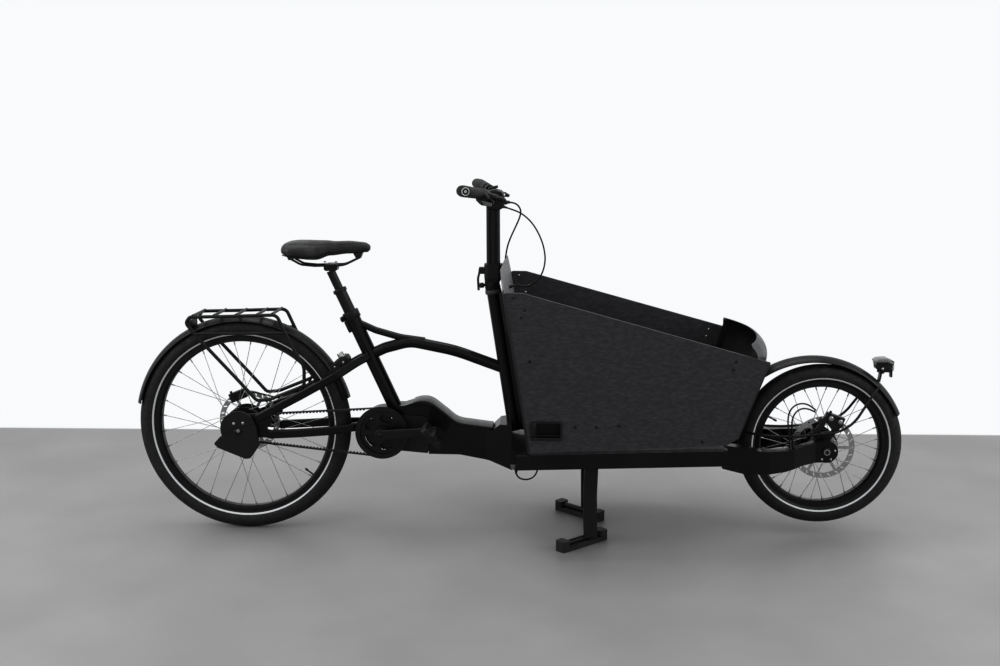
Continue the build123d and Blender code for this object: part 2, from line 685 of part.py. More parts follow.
def lever_body(side):
    clamp = on_bar(side, 160, 16, BAR_R + 5)
    near, out = bar_point(side, 186)
    far, _ = bar_point(side, 158)
    arm = lever_offset()
    cylinder = rod(tuple(near + arm * 27), tuple(far + arm * 30), 9)
    strut_at, _ = bar_point(side, 168)
    strut = rod(tuple(strut_at + arm * 12), tuple(strut_at + arm * 26), 6)
    pivot = lever_pivot(side)
    hinge = out.cross(arm).normalized()
    cheeks = rod(tuple(pivot - hinge * 8), tuple(pivot - hinge * 4.5), 7)
    cheeks += rod(tuple(pivot + hinge * 4.5), tuple(pivot + hinge * 8), 7)
    arms = rod(tuple(far + arm * 28 - hinge * 6.2), tuple(pivot - hinge * 6.2), 1.5)
    arms += rod(tuple(far + arm * 28 + hinge * 6.2), tuple(pivot + hinge * 6.2), 1.5)
    pin = rod(tuple(pivot - hinge * 7), tuple(pivot + hinge * 7), 2.5)
    return clamp + strut + cylinder + cheeks + arms + pin - on_bar(side, 100, 120, BAR_R, 0)


def lever_blade(side):
    pivot = lever_pivot(side)
    arm = lever_offset()
    _, out = bar_point(side, 0)
    hinge = out.cross(arm).normalized()
    knee = bar_point(side, 118)[0] + arm * 50
    far = bar_point(side, 40)[0] + arm * 46
    blade = bent([tuple(pivot), tuple(knee), tuple(far)], Circle(4), [60])
    boss = rod(tuple(pivot - hinge * 4.2), tuple(pivot + hinge * 4.2), 7)
    tip = Pos(*tuple(far)) * Sphere(5.5)
    return boss + blade + tip - rod(tuple(pivot - hinge * 9), tuple(pivot + hinge * 9), 2.5 + RUN_FIT)


def grips():
    pieces = []
    for side in (-1, 1):
        sleeve = on_bar(side, 0, GRIP_LEN, 16.5)
        wing_at, out = bar_point(side, 0)
        back = wing_at - out * 62 + Vector(-14, 0, 4)
        wing = Plane(origin=tuple(back), x_dir=(1, 0, 0), z_dir=out) * extrude(
            RectangleRounded(36, 22, 10), amount=60)
        pieces.append(sleeve + (wing - on_bar(side, -10, 200, BAR_R, 0)))
    return pieces


# ---- saddle -------------------------------------------------------------------------------
SLEEVE_TOP = 803.0
POST_TOP = 862.0


def seat_sleeve():
    return rod(seat_point(600), seat_point(SLEEVE_TOP), SLEEVE_R, POST_R + RUN_FIT)


def seat_post():
    post = rod(seat_point(690), seat_point(POST_TOP), POST_R, POST_R - 3)
    head = Pos(seat_point(POST_TOP)[0] + 3, 0, 874) * Box(44, 34, 22)
    head = fillet(head.edges().filter_by(Axis.Y), 8)
    rails = []
    for side in (-1, 1):
        y = side * 22
        rail = bent([(172, y, 903), (206, y, 884), (250, y, 880), (344, y, 882), (392, side * 12, 905)],
                    Circle(3.5), [40, 60, 60])
        rails.append(rail)
    cradle = Pos(seat_point(POST_TOP)[0] + 3, 0, 882) * Box(30, 56, 8)
    return [post + head + cradle - rails[0] - rails[1]] + rails


def saddle_pad():
    """Plain closed seat: wide wedge behind, slim nose in front."""
    plan = outline([(146, 58), (168, 84), (228, 76), (290, 34), (400, 19), (430, 12), (432, -12),
                    (400, -19), (290, -34), (228, -76), (168, -84), (146, -58)], 5)
    profile = outline([(146, 925), (150, 943), (180, 955), (235, 957), (330, 948), (420, 950),
                       (432, 938), (420, 922), (330, 918), (240, 908), (180, 908)], 3)
    return plan_slab(plan, 880, 980) & side_slab(profile, -100, 100)


# ---- rack, guard, lock --------------------------------------------------------------------
RACK_Y = 68.0
RACK_R = 5.5


def rack():
    """Two looped sides joined by crossbars, standing on the upper stays."""
    tube = Circle(RACK_R)
    whole = None
    for side in (-1, 1):
        y = side * RACK_Y
        upper = bent([(-20, y, 722), (-150, y, 719), (-164, y, 700), (-132, y, 658), (0, y, 512)], tube,
                     [12, 14, 300])
        lower = bent([(0, y, 512), (58, y, 446), (100, y, 450), (214, y, 496), (216, y, 560),
                      (172, y, 636), (132, y, 727), (-20, y, 722)], tube,
                     [18, 60, 16, 60, 300, 22])
        rail = rod((-136, y, 664), (158, y, 668), RACK_R - 1)
        foot = rod((204, y, 470), (204, y, 496), RACK_R)
        loop = upper + lower + rail + foot
        whole = loop if whole is None else whole + loop
    for x, z in ((-140, 723), (-70, 725), (0, 726), (70, 728), (118, 730)):
        whole += rod((x, -RACK_Y, z), (x, RACK_Y, z), RACK_R - 1)
    return whole


def ring_lock():
    """Frame lock arched over the rear mudguard between the upper stays."""
    angle = 31.0
    arch = Circle(52) - Circle(41)
    arch = arch & (Pos(0, 30) * Rectangle(120, 60))
    legs = Pos(46.5, -12) * Rectangle(11, 26) + Pos(-46.5, -12) * Rectangle(11, 26)
    body = extrude(arch + legs + Pos(0, 51) * RectangleRounded(60, 16, 5), amount=11, both=True)
    centre = polar(REAR, 342, angle)
    plane = Plane(origin=(centre[0], 0, centre[1]), x_dir=(0, 1, 0),
                  z_dir=(-sin(radians(angle)), 0, cos(radians(angle))))
    if (plane.y_dir.X) < 0:
        plane = Plane(origin=plane.origin, x_dir=(0, -1, 0), z_dir=plane.z_dir)
    return plane * body


# ---- cargo box ----------------------------------------------------------------------------
def panel_face():
    sketch = make_face(Polyline(*BOX_SIDE, close=True))
    return fillet(sketch.vertices().sort_by(Axis.X)[0:2], 14)


def box_panel(side):
    y0, y1 = sorted((side * (BOX_HALF - PANEL_T), side * BOX_HALF))
    face = panel_face()
    panel = side_slab(face, y0, y1)
    window = outline([(951, 386), (1041, 386), (1041, 438), (949, 438)], 6)
    panel -= side_slab(window, y0 - 5, y1 + 5)
    return panel


def floor_top(x):
    """Top of the floor at x: level with the side rails' slope."""
    return 331 + (x - 905) * (19 / 640) + FLOOR_T


def box_floor():
    half = BOX_HALF - PANEL_T
    strip = outline([(948, floor_top(948) - FLOOR_T), (1528, floor_top(1528) - FLOOR_T),
                     (1528, floor_top(1528)), (948, floor_top(948))])
    return side_slab(strip, -half, half)


def box_rear_wall():
    """Light alloy sheet that stands a little above the side panels."""
    half = BOX_HALF - PANEL_T
    strip = outline([(856, 890), (862, 890), (946, 345), (941, 341)])
    wall = side_slab(strip, -half, half)
    for side in (-1, 1):
        corner = Plane.YZ.offset(800) * outline([(side * half, 836), (side * (half + 5), 900),
                                                 (side * (half - 70), 900)])
        wall -= extrude(corner, amount=120)
    return wall


def nose_section(x_back, x_front, bulge, half):
    arc = ThreePointArc((x_front, half), (x_front + bulge, 0), (x_front, -half))
    lines = Polyline(arc @ 1, (x_back, -half), (x_back, half), arc @ 0)
    return make_face([arc, lines])


def box_nose():
    """Bulged front shell between the side panels."""
    half = BOX_HALF - PANEL_T
    wall = 4.0
    levels = [(376, 1541, 4), (470, 1574, 14), (560, 1604, 70), (640, 1622, 66), (672, 1600, 62)]
    outer = loft([Pos(0, 0, z) * nose_section(1500, x, bulge, half) for z, x, bulge in levels])
    inner = loft([Pos(0, 0, z) * nose_section(1480, x - wall, bulge, half - wall)
                  for z, x, bulge in levels])
    shell = outer - inner
    back = outline([(1400, 300), (1527, 376), (1606, 648), (1606, 720), (1400, 720)])
    return shell - side_slab(back, -400, 400)


def battery():
    body = Box(92, 300, 78)
    body = fillet(body.edges().filter_by(Axis.Y), 10)
    return Pos(1012, -110, floor_top(1012) + 39 + 6) * body


# ---- stand and lamp -----------------------------------------------------------------------
def stand_legs():
    """Cross tube with two legs and their foot bars."""
    px, pz = STAND_PIVOT
    cross = across(STAND_PIVOT, -140, 140, 10)
    whole = cross + across(STAND_PIVOT, -90, 90, 15) + across(STAND_PIVOT, 102, 140, 15)
    whole += across(STAND_PIVOT, -140, -102, 15)
    for side in (-1, 1):
        section = RectangleRounded(18, 44, 5)
        leg = bent([(px, side * 126, pz + 6), (px - 4, side * 134, 160), (px - 2, side * 150, 26)],
                   section, [200])
        whole += leg
        foot = rod((1178, side * 88, 22), (1044, side * 212, 22), 9)
        whole += foot
    return whole


def stand_feet():
    """Rubber shoes on the foot bars, flat on the ground."""
    shoes = []
    for side in (-1, 1):
        start = Vector(1184, side * 82.5, 0)
        end = Vector(1038, side * 217.5, 0)
        along = (end - start).normalized()
        plane = Plane(origin=tuple((start + end) / 2), x_dir=tuple(along), z_dir=(0, 0, 1))
        length = (end - start).length
        base = plane * extrude(RectangleRounded(length, 40, 10), amount=13)
        shoes.append(base)
        for spot in (start + along * 16, end - along * 16):
            block = Plane(origin=(spot.X, spot.Y, 0), x_dir=tuple(along), z_dir=(0, 0, 1)) * extrude(
                RectangleRounded(32, 40, 8), amount=34)
            shoes[-1] += block
        shoes[-1] -= rod((1178, side * 88, 22), (1044, side * 212, 22), 9)
    return shoes


LAMP_PIVOT = (2068.0, 552.0)


def lamp_bracket():
    tip = polar(FRONT_FENDER_AT, FRONT_FENDER_R, 46)
    x, z = LAMP_PIVOT
    arm = bent([(tip[0] - 2, 0, tip[1] + 2), (x - 2, 0, z - 28), (x, 0, z - 14)], RectangleRounded(22, 6, 2),
               [12])
    ear = outline([(x - 8, z - 17), (x + 8, z - 17), (x + 8, z + 6), (x - 8, z + 6)], 3)
    ears = side_slab(ear, -14, -11) + side_slab(ear, 11, 14)
    bridge = Pos(x, 0, z - 15) * Box(9, 28, 4)
    pin = across(LAMP_PIVOT, -14, 14, 2.5)
    return arm + ears + bridge + pin


def headlight():
    x, z = LAMP_PIVOT
    shell = outline([(x - 22, z + 12), (x + 34, z + 12), (x + 36, z + 24), (x + 14, z + 33),
                     (x - 14, z + 30)], 3)
    body = side_slab(shell, -21, 21)
    tongue = side_slab(outline([(x - 9, z - 6), (x + 9, z - 6), (x + 9, z + 14), (x - 9, z + 14)], 3),
                       -10, 10)
    hook = side_slab(outline([(x + 24, z + 14), (x + 30, z - 30), (x + 36, z - 30), (x + 35, z + 14)]),
                     -7, 7)
    return body + tongue + hook - across(LAMP_PIVOT, -20, 20, 2.5 + RUN_FIT)


# ---- hoses and cables ---------------------------------------------------------------------
HOSE_R = 2.5
BUNDLE_R = 3.5
BAR_HOSE = [(852, 16, 1068), (878, 20, 1060), (914, 24, 1046), (946, 26, 1018), (970, 27, 980),
            (986, 27, 938), (992, 27, 892), (980, 27, 846), (954, 27, 818), (925, 26, 808),
            (904, 24, 815), (889, 22, 811)]
BUNDLE = [(862, -16, 1082), (884, -13, 1083), (904, -9, 1074), (914, -4, 1054), (908, 0, 1030),
          (894, 4, 1000), (878, 6, 966), (867, 6, 934), (863, 6, 902)]
FRONT_HOSE = [(1760, -138, 328), (1757, -139, 352), (1752, -139, 384), (1750, -136, 414),
              (1757, -128, 440), (1778, -114, 455), (1806, -98, 456), (1832, -84, 444),
              (1850, -74, 428)]
FRONT_HOSE_2 = [(1772, -128, 328), (1768, -129, 352), (1765, -128, 384), (1766, -125, 412),
                (1778, -116, 432), (1800, -104, 441), (1826, -92, 436), (1846, -82, 424)]
REAR_HOSE = [(300, 56, 520), (262, 55.5, 500), (222, 55, 474), (186, 55, 446), (146, 54, 428),
             (104, 52, 427), (66, 50, 437), (32, 49, 446), (-1, 50, 449)]
LOOP_HOSE = [(900, -110, 236), (900, -112, 221), (908, -114, 209), (926, -116, 203), (948, -118, 207),
             (963, -120, 221), (970, -122, 243), (973, -122, 270), (974, -121, 300), (973, -120, 332)]


def hose(points, radius):
    radii = bend_radii(points)
    tube = bent(points, Circle(radius), radii, across=(0.3, 1, 0.2))
    path = FilletPolyline(*points, radius=radii)
    want = pi * radius ** 2 * path.length
    print(f"cord length {path.length:.0f} smallest bend {min(radii):.1f} "
          f"volume ratio {tube.volume / want:.4f}")
    return tube


# ---- assembly -----------------------------------------------------------------------------
def build():
    nodes = {}
    beam = main_beam()
    nodes["main_beam"] = beam
    nodes["motor_housing"] = motor_housing()
    nodes["seat_tube"] = seat_tube(beam)
    nodes["head_pillar"] = head_pillar(beam)
    pillar_solid = rod(pillar_point(340), pillar_point(PILLAR_TOP[1]), PILLAR_R)
    seat_solid = rod(seat_point(400), seat_point(SEAT_TOP[1]), SEAT_TUBE_R)
    nodes["top_tube"] = top_tube(seat_solid, pillar_solid)
    stays = rear_stays(seat_solid, beam)
    nodes["rear_stays"] = stays
    nodes["rear_axle"] = rear_axle()
    nodes["hub_interface"] = hub_interface()
    nodes["rear_caliper"] = calliper(polar(REAR, 92, 112), -22, 51)
    nodes["drive_belt"] = belt()
    nodes["rear_fender"] = fender(REAR, REAR_FENDER_R, FENDER_HALF, 15, 168)
    nodes["rack"] = rack() - stays[0] - stays[1]
    nodes["ring_lock"] = ring_lock()
    nodes["box_underframe"] = underframe()
    nodes["front_arms"] = front_arms()
    nodes["front_axle"] = front_axle()
    nodes["box_panel_right"] = box_panel(-1)
    nodes["box_panel_left"] = box_panel(1)
    nodes["box_rear_wall"] = box_rear_wall()
    nodes["box_floor"] = box_floor()
    nodes["box_nose"] = box_nose()
    nodes["battery"] = battery()
    nodes["frame_hoses"] = [hose(REAR_HOSE, HOSE_R), hose(LOOP_HOSE, HOSE_R)]
    nodes.update(rear_wheel())
    nodes["rear_sprocket"] = toothed(REAR, SPROCKET_TEETH, BELT_Y - BELT_W / 2, BELT_Y + BELT_W / 2,
                                     AXLE_R + RUN_FIT)
    nodes["chainring"], nodes["crank_arms"] = crank_set()
    nodes["pedal_right"] = pedal(-1)
    nodes["pedal_left"] = pedal(1)
    nodes.update(front_wheel())
    front_calliper = calliper((FRONT[0] + 34, FRONT[1] + 92), 20, -48)
    guard = fender(FRONT_FENDER_AT, FRONT_FENDER_R, FENDER_HALF, 23, 166)
    nodes["front_knuckle"] = front_knuckle() - front_calliper
    nodes["front_caliper"] = front_calliper
    nodes["front_fender"] = guard
    nodes["front_fender_stays"] = [biggest(piece - guard)
                                   for piece in front_fender_stays() + [lamp_bracket()]]
    nodes["headlight"] = headlight()
    nodes["front_hoses"] = [hose(FRONT_HOSE, HOSE_R), hose(FRONT_HOSE_2, HOSE_R)]
    nodes["seat_sleeve"] = seat_sleeve()
    nodes["seat_post"] = seat_post()
    nodes["saddle_pad"] = saddle_pad()
    nodes["steerer"] = steerer()
    nodes["qr_lever"] = qr_lever()
    nodes["stem_post"] = stem_post()
    nodes["handlebar"] = handlebar()
    nodes["grips"] = grips()
    nodes["brake_bodies"] = [lever_body(-1), lever_body(1)]
    nodes["brake_lever_right"] = lever_blade(-1)
    nodes["brake_lever_left"] = lever_blade(1)
    nodes["shift_ring"] = on_bar(-1, GRIP_LEN + 1, RING_LEN, 17, BAR_R + RUN_FIT)
    nodes["bar_hoses"] = [hose(BAR_HOSE, HOSE_R), hose(BUNDLE, BUNDLE_R)]
    nodes["stand_legs"] = stand_legs()
    nodes["stand_feet"] = stand_feet()
    return nodes


def solids_of(value):
    """Every solid of a node, whatever shape it was built as."""
    if isinstance(value, (list, tuple)):
        return [solid for item in value for solid in solids_of(item)]
    return list(value.solids())


NODES = {name: solids_of(value) for name, value in build().items()}
BOXES = [solid.bounding_box() for solids in NODES.values() for solid in solids]
ORIGIN_X = (min(box.min.X for box in BOXES) + max(box.max.X for box in BOXES)) / 2

os.makedirs("parts", exist_ok=True)
for node, solids in NODES.items():
    moved = Compound(children=[Pos(-ORIGIN_X, 0, 0) * solid for solid in solids])
    export_step(moved, f"parts/{node}.step")
print(f"{len(NODES)} nodes, origin at {ORIGIN_X:.2f} ahead of the rear axle")
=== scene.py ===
"""Looks of the cargo bicycle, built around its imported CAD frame.  Metres, +X forwards, +Z up."""
import json
import math

import bmesh
import bpy
from mathutils import Matrix, Vector


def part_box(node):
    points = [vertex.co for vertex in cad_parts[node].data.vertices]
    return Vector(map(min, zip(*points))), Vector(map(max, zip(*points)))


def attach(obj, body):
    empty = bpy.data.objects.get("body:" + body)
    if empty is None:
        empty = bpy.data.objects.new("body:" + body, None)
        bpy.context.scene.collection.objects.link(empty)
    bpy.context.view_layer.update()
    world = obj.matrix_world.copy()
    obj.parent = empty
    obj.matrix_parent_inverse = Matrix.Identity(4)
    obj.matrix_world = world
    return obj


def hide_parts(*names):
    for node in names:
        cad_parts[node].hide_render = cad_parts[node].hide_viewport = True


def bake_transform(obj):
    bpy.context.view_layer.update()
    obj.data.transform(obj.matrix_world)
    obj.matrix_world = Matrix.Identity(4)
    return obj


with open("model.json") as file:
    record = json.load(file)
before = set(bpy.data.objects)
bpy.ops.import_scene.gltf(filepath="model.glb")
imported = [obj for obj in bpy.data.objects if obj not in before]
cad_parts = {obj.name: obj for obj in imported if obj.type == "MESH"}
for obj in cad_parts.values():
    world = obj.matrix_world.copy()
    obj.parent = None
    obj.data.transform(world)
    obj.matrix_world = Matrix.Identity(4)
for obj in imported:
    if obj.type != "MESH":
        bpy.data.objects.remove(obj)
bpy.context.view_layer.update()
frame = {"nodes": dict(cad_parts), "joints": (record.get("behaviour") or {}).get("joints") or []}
NODES = frame["nodes"]
JOINTS = {joint["name"]: joint for joint in frame["joints"]}

REAR = Vector(JOINTS["rear_wheel_spin"]["pos_m"])
FRONT = Vector(JOINTS["front_wheel_spin"]["pos_m"])
CRANK = Vector(JOINTS["crank_spin"]["pos_m"])
STEER_AXIS = Vector(JOINTS["steering"]["axis"]).normalized()
SEAT_AXIS = Vector(JOINTS["seat_dropper"]["axis"]).normalized()
LAMP = Vector(JOINTS["lamp_tilt"]["pos_m"])
X, Y, Z = Vector((1, 0, 0)), Vector((0, 1, 0)), Vector((0, 0, 1))


def place(x, y, z):
    """A point given in millimetres from the ground under the rear axle."""
    return Vector((REAR.x + x / 1000, y / 1000, z / 1000))


# ---- camera, light and floor ---------------------------------------------------------------
SKY, SKY_STRENGTH = (0.93, 0.94, 0.95, 1), 1.03


def camera():
    heading, pitch, roll = -0.044, 0.1636, -0.0033
    ahead = Vector((math.sin(heading) * math.cos(pitch), math.cos(heading) * math.cos(pitch),
                    -math.sin(pitch)))
    right = Vector((math.cos(heading), -math.sin(heading), 0))
    up = right.cross(ahead)
    level, upright = right, up
    right = level * math.cos(roll) + upright * math.sin(roll)
    up = upright * math.cos(roll) - level * math.sin(roll)
    data = bpy.data.cameras.new("camera")
    data.sensor_width = 36.0
    data.lens = 40.98
    cam = bpy.data.objects.new("camera", data)
    turn = Matrix((right, up, -ahead)).transposed()
    cam.matrix_world = Matrix.Translation((0.1105, -3.6366, 1.261)) @ turn.to_4x4()
    bpy.context.scene.collection.objects.link(cam)
    bpy.context.scene.camera = cam


def area_light(name, at, towards, size, power, tint=(1, 1, 1)):
    data = bpy.data.lights.new(name, "AREA")
    data.shape = "RECTANGLE"
    data.size, data.size_y = size
    data.energy = power
    data.color = tint
    lamp = bpy.data.objects.new(name, data)
    lamp.location = at
    lamp.rotation_mode = "QUATERNION"
    lamp.rotation_quaternion = (Vector(towards) - Vector(at)).to_track_quat("-Z", "Y")
    bpy.context.scene.collection.objects.link(lamp)


def studio():
    view = bpy.context.scene.view_settings
    view.view_transform = "Standard"
    view.gamma = 0.75
    world = bpy.data.worlds.new("studio")
    bpy.context.scene.world = world
    world.use_nodes = True
    sky = world.node_tree.nodes["Background"]
    sky.inputs["Color"].default_value = SKY
    sky.inputs["Strength"].default_value = SKY_STRENGTH
    area_light("left_window", (-3.6, -1.6, 2.4), (0, 0, 0.5), (2.4, 2.6), 75)
    area_light("right_window", (3.6, -1.2, 2.2), (0.2, 0, 0.5), (2.2, 2.4), 60)
    area_light("overhead", (0, 0.2, 3.6), (0, 0, 0.4), (3.4, 1.6), 55)


def floor():
    """Pale floor, grey near the bicycle and white beyond the line where the back wall would stand."""
    half, back = 14.0, 1.29
    mesh = bpy.data.meshes.new("floor")
    mesh.from_pydata([(-half, -half, 0), (half, -half, 0), (half, half, 0), (-half, half, 0)], [],
                     [(0, 1, 2, 3)])
    ground = bpy.data.objects.new("floor", mesh)
    bpy.context.scene.collection.objects.link(ground)
    mat, tree, shader = shader_for("floor_paint", (0.25, 0.25, 0.25), 0.5)
    spots = noise(tree, 2.2, 4)
    colour = ramp(tree, spots, [(0.3, (0.235, 0.23, 0.232)), (0.7, (0.275, 0.27, 0.272))])
    tree.links.new(colour, shader.inputs["Base Color"])
    across = axis_value(tree, "Y")
    beyond = tree.nodes.new("ShaderNodeMapRange")
    beyond.inputs["From Min"].default_value = back
    beyond.inputs["From Max"].default_value = back + 0.02
    tree.links.new(across, beyond.inputs["Value"])
    wall = tree.nodes.new("ShaderNodeEmission")
    wall.inputs["Color"].default_value = SKY
    wall.inputs["Strength"].default_value = SKY_STRENGTH
    blend = tree.nodes.new("ShaderNodeMixShader")
    tree.links.new(beyond.outputs[0], blend.inputs[0])
    tree.links.new(shader.outputs[0], blend.inputs[1])
    tree.links.new(wall.outputs[0], blend.inputs[2])
    tree.links.new(blend.outputs[0], tree.nodes["Material Output"].inputs["Surface"])
    mesh.materials.append(mat)


# ---- materials -----------------------------------------------------------------------------
def shader_for(name, colour, roughness, metallic=0.0):
    mat = bpy.data.materials.new(name)
    mat.use_nodes = True
    tree = mat.node_tree
    shader = tree.nodes["Principled BSDF"]
    shader.inputs["Base Color"].default_value = (*colour, 1)
    shader.inputs["Roughness"].default_value = roughness
    shader.inputs["Metallic"].default_value = metallic
    return mat, tree, shader


def coordinates(tree):
    return tree.nodes.new("ShaderNodeTexCoord").outputs["Object"]


def axis_value(tree, axis, source="Object"):
    """One coordinate of the point or, with Normal as the source, of its normal."""
    split = tree.nodes.new("ShaderNodeSeparateXYZ")
    tree.links.new(tree.nodes.new("ShaderNodeTexCoord").outputs[source], split.inputs[0])
    return split.outputs[axis]


def stretched(tree, scale):
    """Object coordinates scaled along each axis."""
    mapping = tree.nodes.new("ShaderNodeMapping")
    mapping.inputs["Scale"].default_value = scale
    tree.links.new(coordinates(tree), mapping.inputs["Vector"])
    return mapping.outputs[0]


def noise(tree, scale, detail=3.0, vector=None):
    node = tree.nodes.new("ShaderNodeTexNoise")
    node.inputs["Scale"].default_value = scale
    node.inputs["Detail"].default_value = detail
    tree.links.new(vector or coordinates(tree), node.inputs["Vector"])
    return node.outputs["Fac"]


def ramp(tree, value, stops):
    """Colour ramp; stops are (position, grey or colour)."""
    node = tree.nodes.new("ShaderNodeValToRGB")
    marks = node.color_ramp.elements
    while len(marks) < len(stops):
        marks.new(0.5)
    for mark, (position, colour) in zip(marks, stops):
        mark.position = position
        colour = colour if isinstance(colour, tuple) else (colour,) * 3
        mark.color = (*colour, 1)
    tree.links.new(value, node.inputs["Fac"])
    return node.outputs["Color"]


def maths(tree, kind, a, b=None):
    node = tree.nodes.new("ShaderNodeMath")
    node.operation = kind
    for socket, value in zip(node.inputs, (a, b)):
        if value is None:
            continue
        if isinstance(value, (int, float)):
            socket.default_value = value
        else:
            tree.links.new(value, socket)
    return node.outputs[0]


def wave(tree, value, rate):
    """Sine of a value, for grooves and rows."""
    return maths(tree, "SINE", maths(tree, "MULTIPLY", value, rate))


def mix(tree, factor, a, b):
    node = tree.nodes.new("ShaderNodeMix")
    node.data_type = "RGBA"
    tree.links.new(factor, node.inputs["Factor"])
    for socket, value in ((node.inputs["A"], a), (node.inputs["B"], b)):
        if isinstance(value, tuple):
            socket.default_value = (*value, 1)
        else:
            tree.links.new(value, socket)
    return node.outputs["Result"]


def bump(tree, shader, height, strength, distance):
    node = tree.nodes.new("ShaderNodeBump")
    node.inputs["Strength"].default_value = strength
    node.inputs["Distance"].default_value = distance
    tree.links.new(height, node.inputs["Height"])
    tree.links.new(node.outputs[0], shader.inputs["Normal"])


def clouded(tree, shader, socket, scale, detail, stops):
    """Noise through a colour ramp into one input of the shader."""
    tree.links.new(ramp(tree, noise(tree, scale, detail), stops), shader.inputs[socket])


def gloss_paint():
    """Black lacquer: orange peel and faint dust under a clear coat."""
    mat, tree, shader = shader_for("frame_lacquer", (0.006, 0.006, 0.007), 0.3)
    clouded(tree, shader, "Base Color", 9, 5, [(0.45, (0.003, 0.003, 0.0033)), (0.8, (0.007, 0.007, 0.0075))])
    clouded(tree, shader, "Roughness", 60, 4, [(0.3, 0.30), (0.75, 0.44)])
    shader.inputs["Specular IOR Level"].default_value = 0.15
    bump(tree, shader, noise(tree, 900, 2), 0.08, 0.0004)
    shader.inputs["Coat Weight"].default_value = 0.30
    shader.inputs["Coat Roughness"].default_value = 0.07
    return mat


def satin_black(name, grey, roughness, grain, depth=0.12):
    """Anodised or moulded black: fine grain and cloudy gloss."""
    mat, tree, shader = shader_for(name, (grey,) * 3, roughness)
    clouded(tree, shader, "Base Color", 14, 4, [(0.35, grey * 0.8), (0.75, grey * 1.35)])
    shader.inputs["Specular IOR Level"].default_value = 0.35
    clouded(tree, shader, "Roughness", 35, 3, [(0.3, roughness - 0.07), (0.7, roughness + 0.08)])
    bump(tree, shader, noise(tree, grain, 3), depth, 0.0004)
    return mat


def rubber(name, grey):
    mat, tree, shader = shader_for(name, (grey,) * 3, 0.75)
    clouded(tree, shader, "Base Color", 22, 5, [(0.3, grey * 0.8), (0.8, grey * 1.7)])
    clouded(tree, shader, "Roughness", 70, 3, [(0.3, 0.62), (0.7, 0.86)])
    bump(tree, shader, noise(tree, 1300, 3), 0.3, 0.0004)
    shader.inputs["Sheen Weight"].default_value = 0.08
    return mat


def radius_from(tree, centre):
    """Distance from a wheel's axle line."""
    split = tree.nodes.new("ShaderNodeSeparateXYZ")
    tree.links.new(coordinates(tree), split.inputs[0])
    dx = maths(tree, "SUBTRACT", split.outputs["X"], centre.x)
    dz = maths(tree, "SUBTRACT", split.outputs["Z"], centre.z)
    square = maths(tree, "ADD", maths(tree, "MULTIPLY", dx, dx), maths(tree, "MULTIPLY", dz, dz))
    return maths(tree, "SQRT", square)


def tyre_rubber(name, centre, stripe):
    """Matt rubber with the pale reflective ring on both sidewalls."""
    mat, tree, shader = shader_for(name, (0.012, 0.012, 0.012), 0.7)
    grime = ramp(tree, noise(tree, 30, 5), [(0.35, (0.006, 0.006, 0.0062)), (0.8, (0.014, 0.014, 0.0135))])
    off = maths(tree, "ABSOLUTE", maths(tree, "SUBTRACT", radius_from(tree, centre), stripe))
    band = ramp(tree, maths(tree, "MULTIPLY", off, 200.0), [(0.44, 1.0), (0.54, 0.0)])
    beads = noise(tree, 700, 2)
    pale = ramp(tree, beads, [(0.3, (0.50, 0.51, 0.52)), (0.7, (0.72, 0.73, 0.74))])
    tree.links.new(mix(tree, band, grime, pale), shader.inputs["Base Color"])
    clouded(tree, shader, "Roughness", 90, 3, [(0.3, 0.55), (0.7, 0.8)])
    ribs = wave(tree, radius_from(tree, centre), 3600.0)
    bump(tree, shader, maths(tree, "ADD", ribs, noise(tree, 1100, 2)), 0.12, 0.0003)
    return mat


def steel(name, grey, roughness, centre=None):
    """Bare steel; with a centre, it has the fine rings that grinding leaves."""
    mat, tree, shader = shader_for(name, (grey,) * 3, roughness, 1.0)
    if centre is None:
        grain = noise(tree, 220, 3)
    else:
        rings = wave(tree, radius_from(tree, centre), 2600.0)
        grain = maths(tree, "ADD", maths(tree, "MULTIPLY", rings, 0.3), noise(tree, 180, 3))
    tree.links.new(ramp(tree, grain, [(0.2, grey * 0.7), (0.85, grey * 1.15)]), shader.inputs["Base Color"])
    clouded(tree, shader, "Roughness", 50, 4, [(0.3, roughness - 0.08), (0.7, roughness + 0.1)])
    bump(tree, shader, grain, 0.15, 0.0002)
    return mat


def board():
    """Phenolic-faced plywood: pressed fibre grain on the faces, brown veneers on the cut edges."""
    mat, tree, shader = shader_for("faced_plywood", (0.03, 0.03, 0.033), 0.5)
    fibre = noise(tree, 60, 6, stretched(tree, (1.0, 1.0, 2.6)))
    fleck = noise(tree, 420, 4, stretched(tree, (1.0, 1.0, 1.6)))
    grain = maths(tree, "ADD", maths(tree, "MULTIPLY", fibre, 0.6), maths(tree, "MULTIPLY", fleck, 0.4))
    face = ramp(tree, grain, [(0.36, (0.019, 0.019, 0.0215)), (0.52, (0.031, 0.031, 0.0345)),
                              (0.66, (0.052, 0.052, 0.058))])
    sideways = maths(tree, "ABSOLUTE", axis_value(tree, "Y", "Normal"))
    plies = wave(tree, axis_value(tree, "Y"), 4200.0)
    edge = ramp(tree, plies, [(0.35, (0.020, 0.018, 0.017)), (0.65, (0.038, 0.034, 0.031))])
    tree.links.new(mix(tree, ramp(tree, sideways, [(0.4, 0.0), (0.6, 1.0)]), edge, face),
                   shader.inputs["Base Color"])
    tree.links.new(ramp(tree, fleck, [(0.3, 0.42), (0.7, 0.62)]), shader.inputs["Roughness"])
    bump(tree, shader, grain, 0.35, 0.0006)
    return mat


